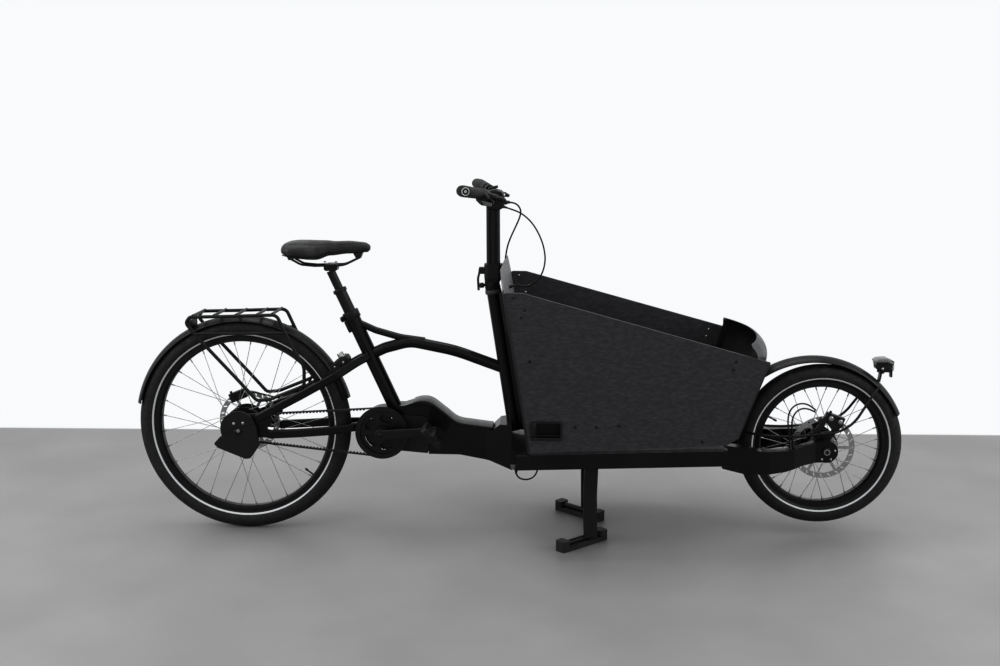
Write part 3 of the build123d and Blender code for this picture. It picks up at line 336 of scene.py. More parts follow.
def floor_board():
    mat, tree, shader = shader_for("floor_plywood", (0.03, 0.03, 0.033), 0.55)
    mesh_wave = maths(tree, "MULTIPLY", wave(tree, axis_value(tree, "X"), 2400.0),
                      wave(tree, axis_value(tree, "Y"), 2400.0))
    clouded(tree, shader, "Base Color", 40, 5, [(0.3, (0.015, 0.015, 0.017)), (0.75, (0.04, 0.04, 0.043))])
    bump(tree, shader, mesh_wave, 0.4, 0.0006)
    return mat


def moulded_shell():
    """Smooth moulded nose with a soft sheen and shallow flow marks."""
    mat, tree, shader = shader_for("nose_moulding", (0.010, 0.010, 0.011), 0.36)
    clouded(tree, shader, "Base Color", 6, 5, [(0.35, (0.007, 0.007, 0.008)), (0.8, (0.016, 0.016, 0.018))])
    clouded(tree, shader, "Roughness", 18, 3, [(0.3, 0.30), (0.7, 0.44)])
    bump(tree, shader, noise(tree, 600, 3), 0.14, 0.0004)
    return mat


def blasted_alloy():
    mat, tree, shader = shader_for("blasted_sheet", (0.15, 0.15, 0.155), 0.55, 0.2)
    clouded(tree, shader, "Base Color", 25, 5, [(0.3, (0.12, 0.12, 0.125)), (0.75, (0.18, 0.18, 0.187))])
    bump(tree, shader, noise(tree, 1500, 2), 0.25, 0.0003)
    return mat


def leather():
    """Matt black cover with pebbled grain."""
    mat, tree, shader = shader_for("saddle_leather", (0.010, 0.010, 0.010), 0.58)
    cells = tree.nodes.new("ShaderNodeTexVoronoi")
    cells.inputs["Scale"].default_value = 650.0
    tree.links.new(coordinates(tree), cells.inputs["Vector"])
    clouded(tree, shader, "Base Color", 24, 4, [(0.35, 0.007), (0.75, 0.018)])
    clouded(tree, shader, "Roughness", 40, 3, [(0.3, 0.46), (0.7, 0.66)])
    bump(tree, shader, cells.outputs["Distance"], 0.22, 0.0005)
    shader.inputs["Sheen Weight"].default_value = 0.15
    return mat


def grip_skin():
    """Soft rubber with rows of small raised diamonds."""
    mat, tree, shader = shader_for("grip_skin", (0.016, 0.016, 0.016), 0.7)
    rows = wave(tree, axis_value(tree, "Y"), 1400.0)
    cross = wave(tree, axis_value(tree, "Z"), 1400.0)
    clouded(tree, shader, "Base Color", 60, 3, [(0.3, 0.011), (0.8, 0.026)])
    bump(tree, shader, maths(tree, "MULTIPLY", rows, cross), 0.5, 0.0008)
    return mat


def lens(name, colour, transmission):
    mat, tree, shader = shader_for(name, colour, 0.08)
    shader.inputs["Transmission Weight"].default_value = transmission
    shader.inputs["Coat Weight"].default_value = 0.6
    bump(tree, shader, wave(tree, axis_value(tree, "Y"), 1500.0), 0.4, 0.0006)
    return mat


# Each material is built once and shared.
MAT = {
    "paint": gloss_paint(),
    "alloy": satin_black("black_anodised", 0.006, 0.38, 1200),
    "plastic": satin_black("grained_plastic", 0.007, 0.52, 700, 0.3),
    "motor": satin_black("motor_casting", 0.008, 0.46, 420, 0.25),
    "fender": satin_black("mudguard", 0.006, 0.36, 900, 0.08),
    "rim": satin_black("rim_anodised", 0.005, 0.34, 1500, 0.08),
    "hub": satin_black("hub_anodised", 0.006, 0.36, 1000),
    "plastic_lamp": satin_black("lamp_housing", 0.008, 0.30, 900),
    "lamp_grey": satin_black("lamp_cap", 0.20, 0.34, 900),
    "rubber": rubber("plain_rubber", 0.007),
    "foot": rubber("foot_rubber", 0.009),
    "hose": satin_black("hose_jacket", 0.005, 0.42, 1600, 0.1),
    "belt": rubber("belt_rubber", 0.006),
    "rear_tyre": tyre_rubber("rear_tyre_rubber", REAR, 0.304),
    "front_tyre": tyre_rubber("front_tyre_rubber", FRONT, 0.220),
    "spoke": steel("spoke_wire", 0.42, 0.30),
    "rear_disc": steel("rear_disc_steel", 0.40, 0.34, REAR),
    "front_disc": steel("front_disc_steel", 0.40, 0.34, FRONT),
    "bolt": steel("bolt_steel", 0.50, 0.28),
    "axle": steel("axle_steel", 0.35, 0.36),
    "board": board(),
    "floor_board": floor_board(),
    "nose": moulded_shell(),
    "sheet": blasted_alloy(),
    "leather": leather(),
    "grip": grip_skin(),
    "silver": steel("lock_barrel", 0.55, 0.30),
    "trim": satin_black("edge_trim", 0.020, 0.42, 900),
    "ring": satin_black("end_ring", 0.42, 0.40, 900),
    "cap": satin_black("pale_cap", 0.05, 0.36, 900),
    "clear": lens("lamp_lens", (0.85, 0.87, 0.9), 0.85),
    "red": lens("tail_lens", (0.35, 0.006, 0.008), 0.35),
    "thread": rubber("stitch_thread", 0.03),
}

NODE_MATERIAL = {
    "paint": ["main_beam", "seat_tube", "head_pillar", "top_tube", "rear_stays", "box_underframe",
              "front_arms"],
    "motor": ["motor_housing"],
    "alloy": ["rear_caliper", "front_caliper", "rack", "chainring", "crank_arms", "front_knuckle",
              "front_fender_stays", "seat_sleeve", "seat_post", "steerer", "qr_lever", "stem_post",
              "handlebar", "brake_bodies", "brake_lever_right", "brake_lever_left", "stand_legs"],
    "axle": ["rear_axle", "front_axle", "rear_sprocket"],
    "plastic": ["hub_interface", "ring_lock", "battery", "pedal_right", "pedal_left"],
    "belt": ["drive_belt"],
    "fender": ["rear_fender", "front_fender"],
    "board": ["box_panel_right", "box_panel_left"],
    "floor_board": ["box_floor"],
    "sheet": ["box_rear_wall"],
    "nose": ["box_nose"],
    "hose": ["frame_hoses", "front_hoses", "bar_hoses"],
    "rim": ["rear_rim", "front_rim"],
    "spoke": ["rear_spokes", "front_spokes"],
    "hub": ["rear_hub_shell", "front_hub_shell"],
    "rear_disc": ["rear_rotor"],
    "front_disc": ["front_rotor"],
    "rear_tyre": ["rear_tyre"],
    "front_tyre": ["front_tyre"],
    "grip": ["grips", "shift_ring"],
    "leather": ["saddle_pad"],
    "foot": ["stand_feet"],
    "plastic_lamp": ["headlight"],
}
for kind, names in NODE_MATERIAL.items():
    for name in names:
        for slot in NODES[name].material_slots:
            slot.material = MAT[kind]


# ---- mesh tools ----------------------------------------------------------------------------
def basis(axis, hint=None):
    """Two directions square to an axis."""
    axis = axis.normalized()
    hint = hint or (Z if abs(axis.z) < 0.9 else X)
    side = axis.cross(hint).normalized()
    return side, axis.cross(side).normalized()


def lathe(profile, at, axis, sides=32, hexagon=()):
    """Closed (radius, height) loop turned about an axis; points named in hexagon follow a hexagon."""
    u, v = basis(axis)
    axis = axis.normalized()
    verts, faces = [], []
    for step in range(sides):
        angle = 2 * math.pi * step / sides
        flat = math.cos((angle + math.pi / 6) % (math.pi / 3) - math.pi / 6)
        for index, (radius, height) in enumerate(profile):
            r = radius / flat if index in hexagon else radius
            verts.append(at + (u * math.cos(angle) + v * math.sin(angle)) * r + axis * height)
    count = len(profile)
    for step in range(sides):
        for index in range(count):
            a = step * count + index
            b = step * count + (index + 1) % count
            c = ((step + 1) % sides) * count + (index + 1) % count
            d = ((step + 1) % sides) * count + index
            faces.append((a, d, c, b))
    return verts, faces


def ring_faces(count, sides, closed=False):
    """Faces between neighbouring rings of points; closed joins the last ring to the first."""
    faces = []
    for i in range(count if closed else count - 1):
        j = (i + 1) % count
        for k in range(sides):
            m = (k + 1) % sides
            faces.append((i * sides + k, i * sides + m, j * sides + m, j * sides + k))
    return faces


def prism(points, at, u, v, depth):
    """Flat outline in the plane of u and v, given thickness both ways."""
    normal = u.cross(v).normalized() * depth / 2
    count = len(points)
    low = [at + u * a + v * b - normal for a, b in points]
    high = [at + u * a + v * b + normal for a, b in points]
    faces = [tuple(reversed(range(count))), tuple(range(count, 2 * count))]
    for i in range(count):
        k = (i + 1) % count
        faces.append((i, k, count + k, count + i))
    return low + high, faces


def rounded(width, height, radius, steps=4):
    """Rectangle outline with round corners."""
    points = []
    for corner, (sx, sy) in enumerate(((1, 1), (-1, 1), (-1, -1), (1, -1))):
        for step in range(steps + 1):
            angle = math.pi / 2 * (corner + step / steps)
            points.append((sx * (width / 2 - radius) + radius * math.cos(angle),
                           sy * (height / 2 - radius) + radius * math.sin(angle)))
    return points


def bolt(at, axis, radius, height):
    """Button-head screw with a hexagon socket."""
    profile = [(radius, 0), (radius * 0.98, height * 0.45), (radius * 0.8, height * 0.85),
               (radius * 0.55, height), (radius * 0.42, height), (radius * 0.40, height * 0.35),
               (0.0001, height * 0.30), (0.0001, -height * 0.1), (radius, -height * 0.1)]
    return lathe(profile, at, axis, 24, hexagon=(4, 5))


def together(parts):
    verts, faces = [], []
    for part_verts, part_faces in parts:
        start = len(verts)
        verts += part_verts
        faces += [tuple(start + i for i in face) for face in part_faces]
    return verts, faces


def piece(name, shape, body, slot, material, bevel=0.0, rounds=2, subdivide=0, sharp=35):
    """Makes an object of the shape, rides it on a body and gives it its looks."""
    verts, faces = shape
    mesh = bpy.data.meshes.new(name)
    mesh.from_pydata([tuple(v) for v in verts], [], faces)
    work = bmesh.new()
    work.from_mesh(mesh)
    bmesh.ops.remove_doubles(work, verts=work.verts, dist=1e-6)
    bmesh.ops.recalc_face_normals(work, faces=work.faces)
    if bevel:
        edges = [e for e in work.edges if len(e.link_faces) == 2 and e.calc_face_angle() > 0.6]
        bmesh.ops.bevel(work, geom=edges, offset=bevel, segments=rounds, profile=0.5, affect="EDGES",
                        clamp_overlap=True)
    work.to_mesh(mesh)
    work.free()
    obj = bpy.data.objects.new(name, mesh)
    bpy.context.scene.collection.objects.link(obj)
    mesh.materials.append(material)
    mesh.polygons.foreach_set("use_smooth", [True] * len(mesh.polygons))
    mesh.set_sharp_from_angle(angle=math.radians(sharp))
    if subdivide:
        modifier = obj.modifiers.new("smooth", "SUBSURF")
        modifier.levels = modifier.render_levels = subdivide
    if body:
        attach(obj, body)
    return obj


def plastic(name, shape, body="frame", **looks):
    """Piece of moulded black plastic."""
    return piece(name, shape, body, "black_plastic", MAT["plastic"], **looks)


def alloy(name, shape, body="frame", **looks):
    """Piece of black alloy."""
    return piece(name, shape, body, "alloy_black", MAT["alloy"], **looks)


SIDES = (("right", -1), ("left", 1))


# ---- tyres ---------------------------------------------------------------------------------
def tyre(name, node, body, centre, tyre_r, units):
    """Tyre with a cut tread: two grooves round the crown and slits across its shoulders."""
    half = 0.030
    middle = tyre_r - half
    depth = 0.0014
    inner = math.degrees(math.asin(0.016 / half))
    stop = 180 - inner
    marks = [0, 5, 11, 13, 18, 20, 27, 36, 45, 47, 54, 66, 80, 96, 112, 128, stop]
    marks = [-m for m in reversed(marks[1:])] + marks
    phases = (0.0, 0.18, 0.24, 0.42, 0.60, 0.80)
    verts = []
    rings = units * len(phases)
    for ring in range(rings):
        unit, phase = divmod(ring, len(phases))
        angle = 2 * math.pi * (unit + phases[phase]) / units
        out = Vector((math.cos(angle), 0, math.sin(angle)))
        for mark in marks:
            size = abs(mark)
            cut = depth if 12 <= size <= 19 else 0.0
            swap = (mark > 0) == (unit % 2 == 0)
            slit = phase < 2 if swap else phase in (3, 4)
            if 20 < size < 46 and slit:
                cut = depth
            if size < 11 and phase in (0, 1) and unit % 2:
                cut = depth * 0.6
            a = math.radians(mark)
            r = half - cut
            verts.append(centre + out * (middle + r * math.cos(a)) + Y * (r * math.sin(a)))
    shape = verts, ring_faces(rings, len(marks), closed=True)
    tread = piece(name, shape, body, "rubber_tyre", MAT[node], sharp=40)
    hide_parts(node)


tyre("rear_tyre_tread", "rear_tyre", "rear_wheel", REAR, 0.352, 150)
tyre("front_tyre_tread", "front_tyre", "front_wheel", FRONT, 0.263, 112)


def valve(name, body, centre, radius, angle):
    out = Vector((math.cos(math.radians(angle)), 0, math.sin(math.radians(angle))))
    stem = [(0.0028, 0), (0.0028, 0.016), (0.0022, 0.017), (0.0022, 0.020), (0.0034, 0.021),
            (0.0034, 0.031), (0.0020, 0.034), (0.0001, 0.0345), (0.0001, 0)]
    piece(name, lathe(stem, centre + out * radius, -out, 20), body, "hub_black", MAT["rubber"])


valve("rear_valve", "rear_wheel", REAR, 0.280, -38)
valve("front_valve", "front_wheel", FRONT, 0.191, 152)


# ---- screws and small fittings -------------------------------------------------------------
def bolts(name, body, slot, spots, axis, radius, height, material="bolt"):
    """One piece of equal screws at several places."""
    shapes = [bolt(spot, axis, radius, height) for spot in spots]
    return piece(name, together(shapes), body, slot, MAT[material])


def around(centre, radius, count, start, y):
    """Places round an axle, at one Y."""
    spots = []
    for i in range(count):
        angle = math.radians(start + 360 * i / count)
        spots.append(Vector((centre.x + radius * math.cos(angle), y, centre.z + radius * math.sin(angle))))
    return spots


REAR_DISC, FRONT_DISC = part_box("rear_rotor"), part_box("front_rotor")
bolts("rear_disc_screws", "rear_wheel", "spoke_steel", around(REAR, 0.012, 6, 0, REAR_DISC[1].y), Y,
      0.0032, 0.0022)
bolts("front_disc_screws", "front_wheel", "spoke_steel", around(FRONT, 0.0415, 6, 30, FRONT_DISC[0].y), -Y,
      0.0032, 0.0022)

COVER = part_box("hub_interface")
bolts("hub_cover_screws", "frame", "spoke_steel",
      [place(-17, 0, 372) + Y * (COVER[0].y + 0.0098), place(13, 0, 374) + Y * (COVER[0].y + 0.0098),
       place(-11, 0, 340) + Y * (COVER[0].y + 0.0038)], -Y, 0.0050, 0.003)
bolts("hub_axle_cap", "frame", "hub_black", [Vector((REAR.x - 0.007, COVER[0].y, REAR.z - 0.006))], -Y,
      0.0085, 0.003, "alloy")

RIGHT_PANEL, LEFT_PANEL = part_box("box_panel_right"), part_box("box_panel_left")
# for each panel: Y of its outer face, Y of its inner face, side
PANELS = {"right": (RIGHT_PANEL[0].y, RIGHT_PANEL[1].y, -1), "left": (LEFT_PANEL[1].y, LEFT_PANEL[0].y, 1)}
for word, (outer, inner, side) in PANELS.items():
    lower = [(1083, 425), (1147, 425), (1214, 431), (1463, 383), (946, 625)]
    upper = [(898, 815), (931, 779), (921, 756), (1557, 627), (1550, 603)]
    bolts(f"panel_screws_{word}", "frame", "alloy_black",
          [place(px, 0, pz) + Y * outer for px, pz in lower], Y * side, 0.0050, 0.0022, "alloy")
    bolts(f"panel_nuts_{word}", "frame", "spoke_steel",
          [place(px, 0, pz) + Y * inner for px, pz in upper], Y * -side, 0.0042, 0.0030)
    bolts(f"panel_heads_{word}", "frame", "alloy_black",
          [place(px, 0, pz) + Y * outer for px, pz in upper], Y * side, 0.0042, 0.0018, "alloy")
    # lipped frame of the side window, with the ledge on its lower edge
    wide, tall = 0.098, 0.060
    frame_outer = rounded(wide, tall, 0.010)
    frame_inner = rounded(wide - 0.012, tall - 0.012, 0.006)
    middle = place(996, 0, 412) + Y * (outer + side * 0.0006)
    verts = []
    lip = ((frame_outer, 0.0), (frame_outer, 0.0022), (frame_inner, 0.0022), (frame_inner, -0.012))
    for loop, lift in lip:
        verts += [middle + X * a + Z * b + Y * side * lift for a, b in loop]
    plastic(f"window_frame_{word}", (verts, ring_faces(len(lip), len(frame_outer), closed=True)), sharp=30)
    ledge = prism([(-0.042, -0.003), (0.042, -0.003), (0.042, 0.003), (-0.042, 0.003)],
                  place(996, 0, 391) + Y * (inner - side * 0.012), X, Y, 0.004)
    plastic(f"window_ledge_{word}", ledge, bevel=0.0008)

# Y of the motor cover's face on each side
for word, side, face, finish in (("right", -1, -0.0421, "alloy"), ("left", 1, 0.045, "bolt")):
    bolts(f"motor_screws_{word}", "frame", "alloy_black", around(CRANK, 0.047, 5, 40, face), Y * side,
          0.0048, 0.003, finish)

CRANK_FACE = 0.098          # outer faces of the crank arms, from the middle plane
for name, side in (("crank_caps", -1), ("crank_cap_left", 1)):
    bolts(name, "crankset", "alloy_black", [Vector((CRANK.x, side * CRANK_FACE, CRANK.z))], Y * side,
          0.0095, 0.003, "alloy")
ring_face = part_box("chainring")[0].y + 0.032
bolts("chainring_bolts", "crankset", "spoke_steel", around(CRANK, 0.0585, 5, 54, ring_face), -Y, 0.0046,
      0.003)

AXLE_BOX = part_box("front_axle")
for word, side in SIDES:
    face = AXLE_BOX[0].y if side < 0 else AXLE_BOX[1].y
    cap = [(0.0001, 0.0004), (0.006, 0.0004), (0.007, -0.002), (0.0125, -0.002), (0.0135, -0.003),
           (0.0135, -0.0078), (0.0001, -0.0078)]
    alloy(f"front_axle_cap_{word}", lathe(cap, Vector((FRONT.x, face, FRONT.z)), Y * side, 40,
                                          hexagon=(1, 2)))
    spots = [place(x, side * 105, z) for x, z in ((1868, 276), (1896, 276), (1908, 304))]
    bolts(f"arm_screws_{word}", "frame", "spoke_steel", spots, Y * side, 0.0038, 0.0025)


def calliper_fittings(name, body, centre, turn, face, side):
    """Two bright-ringed screws on the outer face of a calliper, which is turned to follow its disc."""
    spots = []
    for along in (-0.016, 0.016):
        angle = math.radians(-turn)
        spots.append(Vector((centre.x + along * math.cos(angle), face, centre.z + along * math.sin(angle)
                             + 0.003)))
    bolts(name, body, "alloy_black", spots, Y * side, 0.0060, 0.0026)
    rings = [lathe([(0.0080, 0), (0.0080, 0.0016), (0.0066, 0.0016), (0.0066, 0)], spot, Y * side, 32)
             for spot in spots]
    piece(name + "_rings", together(rings), body, "spoke_steel", MAT["bolt"])


FRONT_CAL, REAR_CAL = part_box("front_caliper"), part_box("rear_caliper")
calliper_fittings("front_calliper_screws", "knuckle", place(1916, 0, 392.3), 20, FRONT_CAL[0].y, -1)
calliper_fittings("rear_calliper_screws", "frame", place(-34.5, 0, 437.3), -22, REAR_CAL[1].y, 1)


# ---- saddle --------------------------------------------------------------------------------
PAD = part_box("saddle_pad")


def curve_at(table, t):
    """Smooth value between the (t, value) pairs of a short table."""
    for (t0, a), (t1, b) in zip(table, table[1:]):
        if t <= t1:
            s = (t - t0) / (t1 - t0)
            s = s * s * (3 - 2 * s)
            return a + (b - a) * s
    return table[-1][1]


SEAT_HALF = [(0.0, 0.052), (0.03, 0.072), (0.12, 0.082), (0.27, 0.075), (0.42, 0.047), (0.55, 0.031),
             (0.75, 0.0225), (0.93, 0.0195), (1.0, 0.012)]
SEAT_TOP = [(0.0, 0.9470), (0.04, 0.9555), (0.12, 0.9575), (0.50, 0.9575), (0.62, 0.9545), (0.78, 0.9560),
            (0.94, 0.9540), (1.0, 0.9455)]
SEAT_LOW = [(0.0, 0.922), (0.04, 0.915), (0.14, 0.908), (0.38, 0.9025), (0.54, 0.916), (0.75, 0.922),
            (1.0, 0.927)]


def seat_point(t, turn):
    """Point of the seat's skin: t runs from the tail to the nose, turn goes round its section."""
    x = PAD[0].x + (PAD[1].x - PAD[0].x) * (0.006 + 0.988 * t)
    half, top, low = curve_at(SEAT_HALF, t), curve_at(SEAT_TOP, t), curve_at(SEAT_LOW, t)
    c, s = math.cos(turn), math.sin(turn)
    y = half * math.copysign(abs(c) ** 0.75, c)
    belly = top - 0.62 * (top - low)
    if s >= 0:
        z = belly + (top - belly) * abs(s) ** 0.72
    else:
        z = belly - (belly - low) * abs(s) ** 0.5
    tail_cut = max(0.0, 1 - abs(y) / 0.020) * 0.010 * max(0.0, 1 - t / 0.06)
    return Vector((x + tail_cut, y, z))


def seat_shape(stations=46, sides=40):
    verts, faces = [], []
    for i in range(stations + 1):
        t = i / stations
        for k in range(sides):
            verts.append(seat_point(t, 2 * math.pi * k / sides))
    for i in range(stations):
        for k in range(sides):
            m = (k + 1) % sides
            faces.append((i * sides + k, (i + 1) * sides + k, (i + 1) * sides + m, i * sides + m))
    faces.append(tuple(range(sides)))
    faces.append(tuple(reversed(range(stations * sides, (stations + 1) * sides))))
    return verts, faces


def inflate(obj, pressure, cap, frames):
    """Cloth under pressure, with each point's move capped, applied to the mesh."""
    start = [v.co.copy() for v in obj.data.vertices]
    cloth = obj.modifiers.new("inflate", "CLOTH")
    settings = cloth.settings
    settings.quality = 6
    settings.use_pressure = True
    settings.uniform_pressure_force = pressure
    settings.effector_weights.gravity = 0
    settings.tension_stiffness = settings.compression_stiffness = 18
    settings.bending_stiffness = 1.2
    cloth.collision_settings.use_collision = False
    cloth.point_cache.frame_start, cloth.point_cache.frame_end = 1, frames
    for step in range(1, frames + 1):
        bpy.context.scene.frame_set(step)
    shaped = bpy.data.meshes.new_from_object(obj.evaluated_get(bpy.context.evaluated_depsgraph_get()))
    moved = [v.co.copy() for v in shaped.vertices]
    obj.modifiers.remove(cloth)
    bpy.data.meshes.remove(shaped)
    bpy.context.scene.frame_set(1)
    for vert, was, now in zip(obj.data.vertices, start, moved):
        step = now - was
        if step.length > cap:
            step *= cap / step.length
        vert.co = was + step


def saddle_cover():
    pad = piece("saddle_cover", seat_shape(), None, None, MAT["leather"], sharp=180)
    voxels = pad.modifiers.new("remesh", "REMESH")
    voxels.mode, voxels.voxel_size = "VOXEL", 0.004
    shaped = bpy.data.meshes.new_from_object(pad.evaluated_get(bpy.context.evaluated_depsgraph_get()))
    pad.modifiers.remove(voxels)
    pad.data = shaped
    if not shaped.materials:
        shaped.materials.append(MAT["leather"])
    inflate(pad, 3.0, 0.0035, 16)
    groove_half, groove_depth = 0.010, 0.0035
    seam_in = 0.0016
    for vert in shaped.vertices:
        t = (vert.co.x - PAD[0].x) / (PAD[1].x - PAD[0].x)
        upper = vert.co.z > curve_at(SEAT_LOW, t) + 0.55 * (curve_at(SEAT_TOP, t) - curve_at(SEAT_LOW, t))
        if upper:
            across = math.exp(-(vert.co.y / groove_half) ** 2)
            along = min(1.0, max(0.0, (t - 0.06) / 0.1)) * min(1.0, max(0.0, (0.62 - t) / 0.12))
            vert.co.z -= groove_depth * across * along
        rim = abs(vert.co.y) / max(curve_at(SEAT_HALF, t), 0.004)
        step = math.exp(-((rim - 0.80) / 0.035) ** 2) if upper else 0.0
        vert.co.z -= seam_in * step
    shaped.polygons.foreach_set("use_smooth", [True] * len(shaped.polygons))
    smooth = pad.modifiers.new("smooth", "SUBSURF")
    smooth.levels = smooth.render_levels = 1
    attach(pad, "saddle")
    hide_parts("saddle_pad")


def saddle_shell():
    """Tray under the pad, following its lower skin."""
    shell = []
    stations, half_sides = 40, 12
    for i in range(stations + 1):
        t = 0.03 + 0.94 * i / stations
        low = curve_at(SEAT_LOW, t)
        for k in range(half_sides + 1):
            turn = math.pi * (1.08 + 0.84 * k / half_sides)
            spot = seat_point(t, turn)
            spot.z = min(spot.z, low + 0.006) - 0.0016
            spot.y *= 0.985
            shell.append(spot)
    faces = []
    row = half_sides + 1
    for i in range(stations):
        for k in range(half_sides):
            faces.append((i * row + k, i * row + k + 1, (i + 1) * row + k + 1, (i + 1) * row + k))
    tray = plastic("saddle_shell", (shell, faces), "saddle", sharp=60)
    thick = tray.modifiers.new("wall", "SOLIDIFY")
    thick.thickness = 0.0022


def saddle_stitches():
    """Stitches just inside the seam, on both sides."""
    thread = [(0.0001, -0.0019), (0.0005, -0.0014), (0.0005, 0.0014), (0.0001, 0.0019)]
    seam, count, lift = math.acos(0.72 ** (1 / 0.75)), 60, Z * 0.0022
    stitches = [lathe(thread, seat_point(0.10 + 0.80 * i / count, turn) + lift, X,
                      6) for turn in (math.pi - seam, seam) for i in range(count + 1)]
    piece("saddle_stitches", together(stitches), "saddle", "saddle_cover", MAT["thread"])


saddle_cover()
saddle_shell()
saddle_stitches()


# ---- hoses ---------------------------------------------------------------------------------
HOSE_R, BUNDLE_R = 0.0025, 0.0035
BAR_HOSE = [(852, 16, 1068), (878, 20, 1060), (914, 24, 1046), (946, 26, 1018), (970, 27, 980),
            (986, 27, 938), (992, 27, 892), (980, 27, 846), (954, 27, 818), (925, 26, 808),
            (904, 24, 815), (889, 22, 811), (875, 21, 808)]
BUNDLE = [(862, -16, 1082), (884, -13, 1083), (904, -9, 1074), (914, -4, 1054), (908, 0, 1030),
          (894, 4, 1000), (878, 6, 966), (867, 6, 934), (863, 6, 902)]
FRONT_HOSE = [(1760, -138, 322), (1757, -139, 352), (1752, -139, 384), (1750, -136, 414),
              (1757, -128, 440), (1778, -114, 455), (1806, -98, 456), (1832, -84, 444), (1850, -74, 428)]
FRONT_HOSE_2 = [(1772, -128, 322), (1768, -129, 352), (1765, -128, 384), (1766, -125, 412),
                (1778, -116, 432), (1800, -104, 441), (1826, -92, 436), (1846, -82, 424)]
REAR_HOSE = [(300, 56, 520), (262, 55.5, 500), (222, 55, 474), (186, 55, 446), (146, 54, 428),
             (104, 52, 427), (66, 50, 437), (32, 49, 446), (-1, 50, 449)]
LOOP_HOSE = [(900, -110, 236), (900, -112, 221), (908, -114, 209), (926, -116, 203), (948, -118, 207),
             (963, -120, 221), (970, -122, 243), (973, -122, 270), (974, -121, 300), (973, -120, 332)]


def centreline(route, detail=12):
    """Points of the smooth spline that has the route as its control points."""
    curve = bpy.data.curves.new("route", "CURVE")
    curve.dimensions = "3D"
    spline = curve.splines.new("NURBS")
    spline.points.add(len(route) - 1)
    for point, spot in zip(spline.points, route):
        point.co = (*place(*spot), 1)
    spline.order_u = 3
    spline.use_endpoint_u = True
    curve.resolution_u = detail
    carrier = bpy.data.objects.new("route", curve)
    bpy.context.scene.collection.objects.link(carrier)
    bpy.context.view_layer.update()
    mesh = bpy.data.meshes.new_from_object(carrier.evaluated_get(bpy.context.evaluated_depsgraph_get()))
    points = [v.co.copy() for v in mesh.vertices]
    bpy.data.meshes.remove(mesh)
    bpy.data.objects.remove(carrier)
    bpy.data.curves.remove(curve)
    return points


def tube(path, radius, sides=14):
    """Round tube along a path, closed at both ends."""
    verts, side = [], None
    for i, point in enumerate(path):
        ahead = (path[min(i + 1, len(path) - 1)] - path[max(i - 1, 0)]).normalized()
        side = basis(ahead)[0] if side is None else (side - ahead * side.dot(ahead)).normalized()
        other = ahead.cross(side)
        for k in range(sides):
            angle = 2 * math.pi * k / sides
            verts.append(point + (side * math.cos(angle) + other * math.sin(angle)) * radius)
    faces = ring_faces(len(path), sides)
    faces.append(tuple(reversed(range(sides))))
    faces.append(tuple(range((len(path) - 1) * sides, len(path) * sides)))
    return verts, faces


def boot(name, body, path, radius, length=0.016):
    """Tapered rubber sleeve at the end of a hose."""
    start, ahead = path[0], (path[1] - path[0]).normalized()
    profile = [(radius * 0.9, -0.001), (radius * 2.1, -0.001), (radius * 2.1, length * 0.35),
               (radius * 1.5, length * 0.5), (radius * 1.3, length), (radius * 0.9, length)]
    piece(name, lathe(profile, start, ahead, 20), body, "hose_black", MAT["rubber"])


def hung_hose(name, path, node=None, apart=(0,)):
    """Hose across a joint, as a still mesh that rides on neither body; apart gives Y offsets of side-by-side
    hoses.
    """
    shape = together([tube([point + Y * y for point in path], HOSE_R) for y in apart])
    hose = piece(name, shape, None, "hose_black", MAT["hose"], sharp=60)
    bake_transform(hose)
    if node:
        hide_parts(node)


bar_path = centreline(BAR_HOSE)
split = int(len(bar_path) * 0.52)
hung_hose("bar_hose_upper", bar_path[:split + 1], "bar_hoses")
hung_hose("bar_hose_lower", bar_path[split:])
boot("bar_hose_boot", "stem", bar_path, HOSE_R)
boot("wall_grommet", "frame", bar_path[::-1], HOSE_R, 0.022)
bundle_path = centreline(BUNDLE)
hung_hose("bar_bundle", bundle_path, apart=(-0.0027, 0.0027))
boot("bundle_boot", "stem", bundle_path, BUNDLE_R)
for name, route, node in (("front_hose", FRONT_HOSE, "front_hoses"), ("front_hose_rear", FRONT_HOSE_2, None)):
    path = centreline(route)
    hung_hose(name, path, node)
    boot(name + "_boot", "frame", path, HOSE_R)
rear_path = centreline(REAR_HOSE)
rear_hose = piece("rear_hose", tube(rear_path, HOSE_R), "frame", "hose_black", MAT["hose"], sharp=60)
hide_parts("frame_hoses")
boot("rear_hose_boot", "frame", rear_path, HOSE_R)
loop_path = centreline(LOOP_HOSE)
piece("loop_hose", tube(loop_path, HOSE_R), "frame", "hose_black", MAT["hose"], sharp=60)
for name, path in (("loop_boot", loop_path), ("loop_boot_front", loop_path[::-1])):
    boot(name, "frame", path, HOSE_R)


# ---- bar, column and seat hardware ---------------------------------------------------------
def bar_spot(side, inset):
    """Point on the bar's straight end, this far in from its tip (mm), and the outward direction."""
    tip, knee = place(763, side * 345.6, 1129), place(812, side * 150, 1112)
    out = (tip - knee).normalized()
    return tip - out * inset / 1000, out


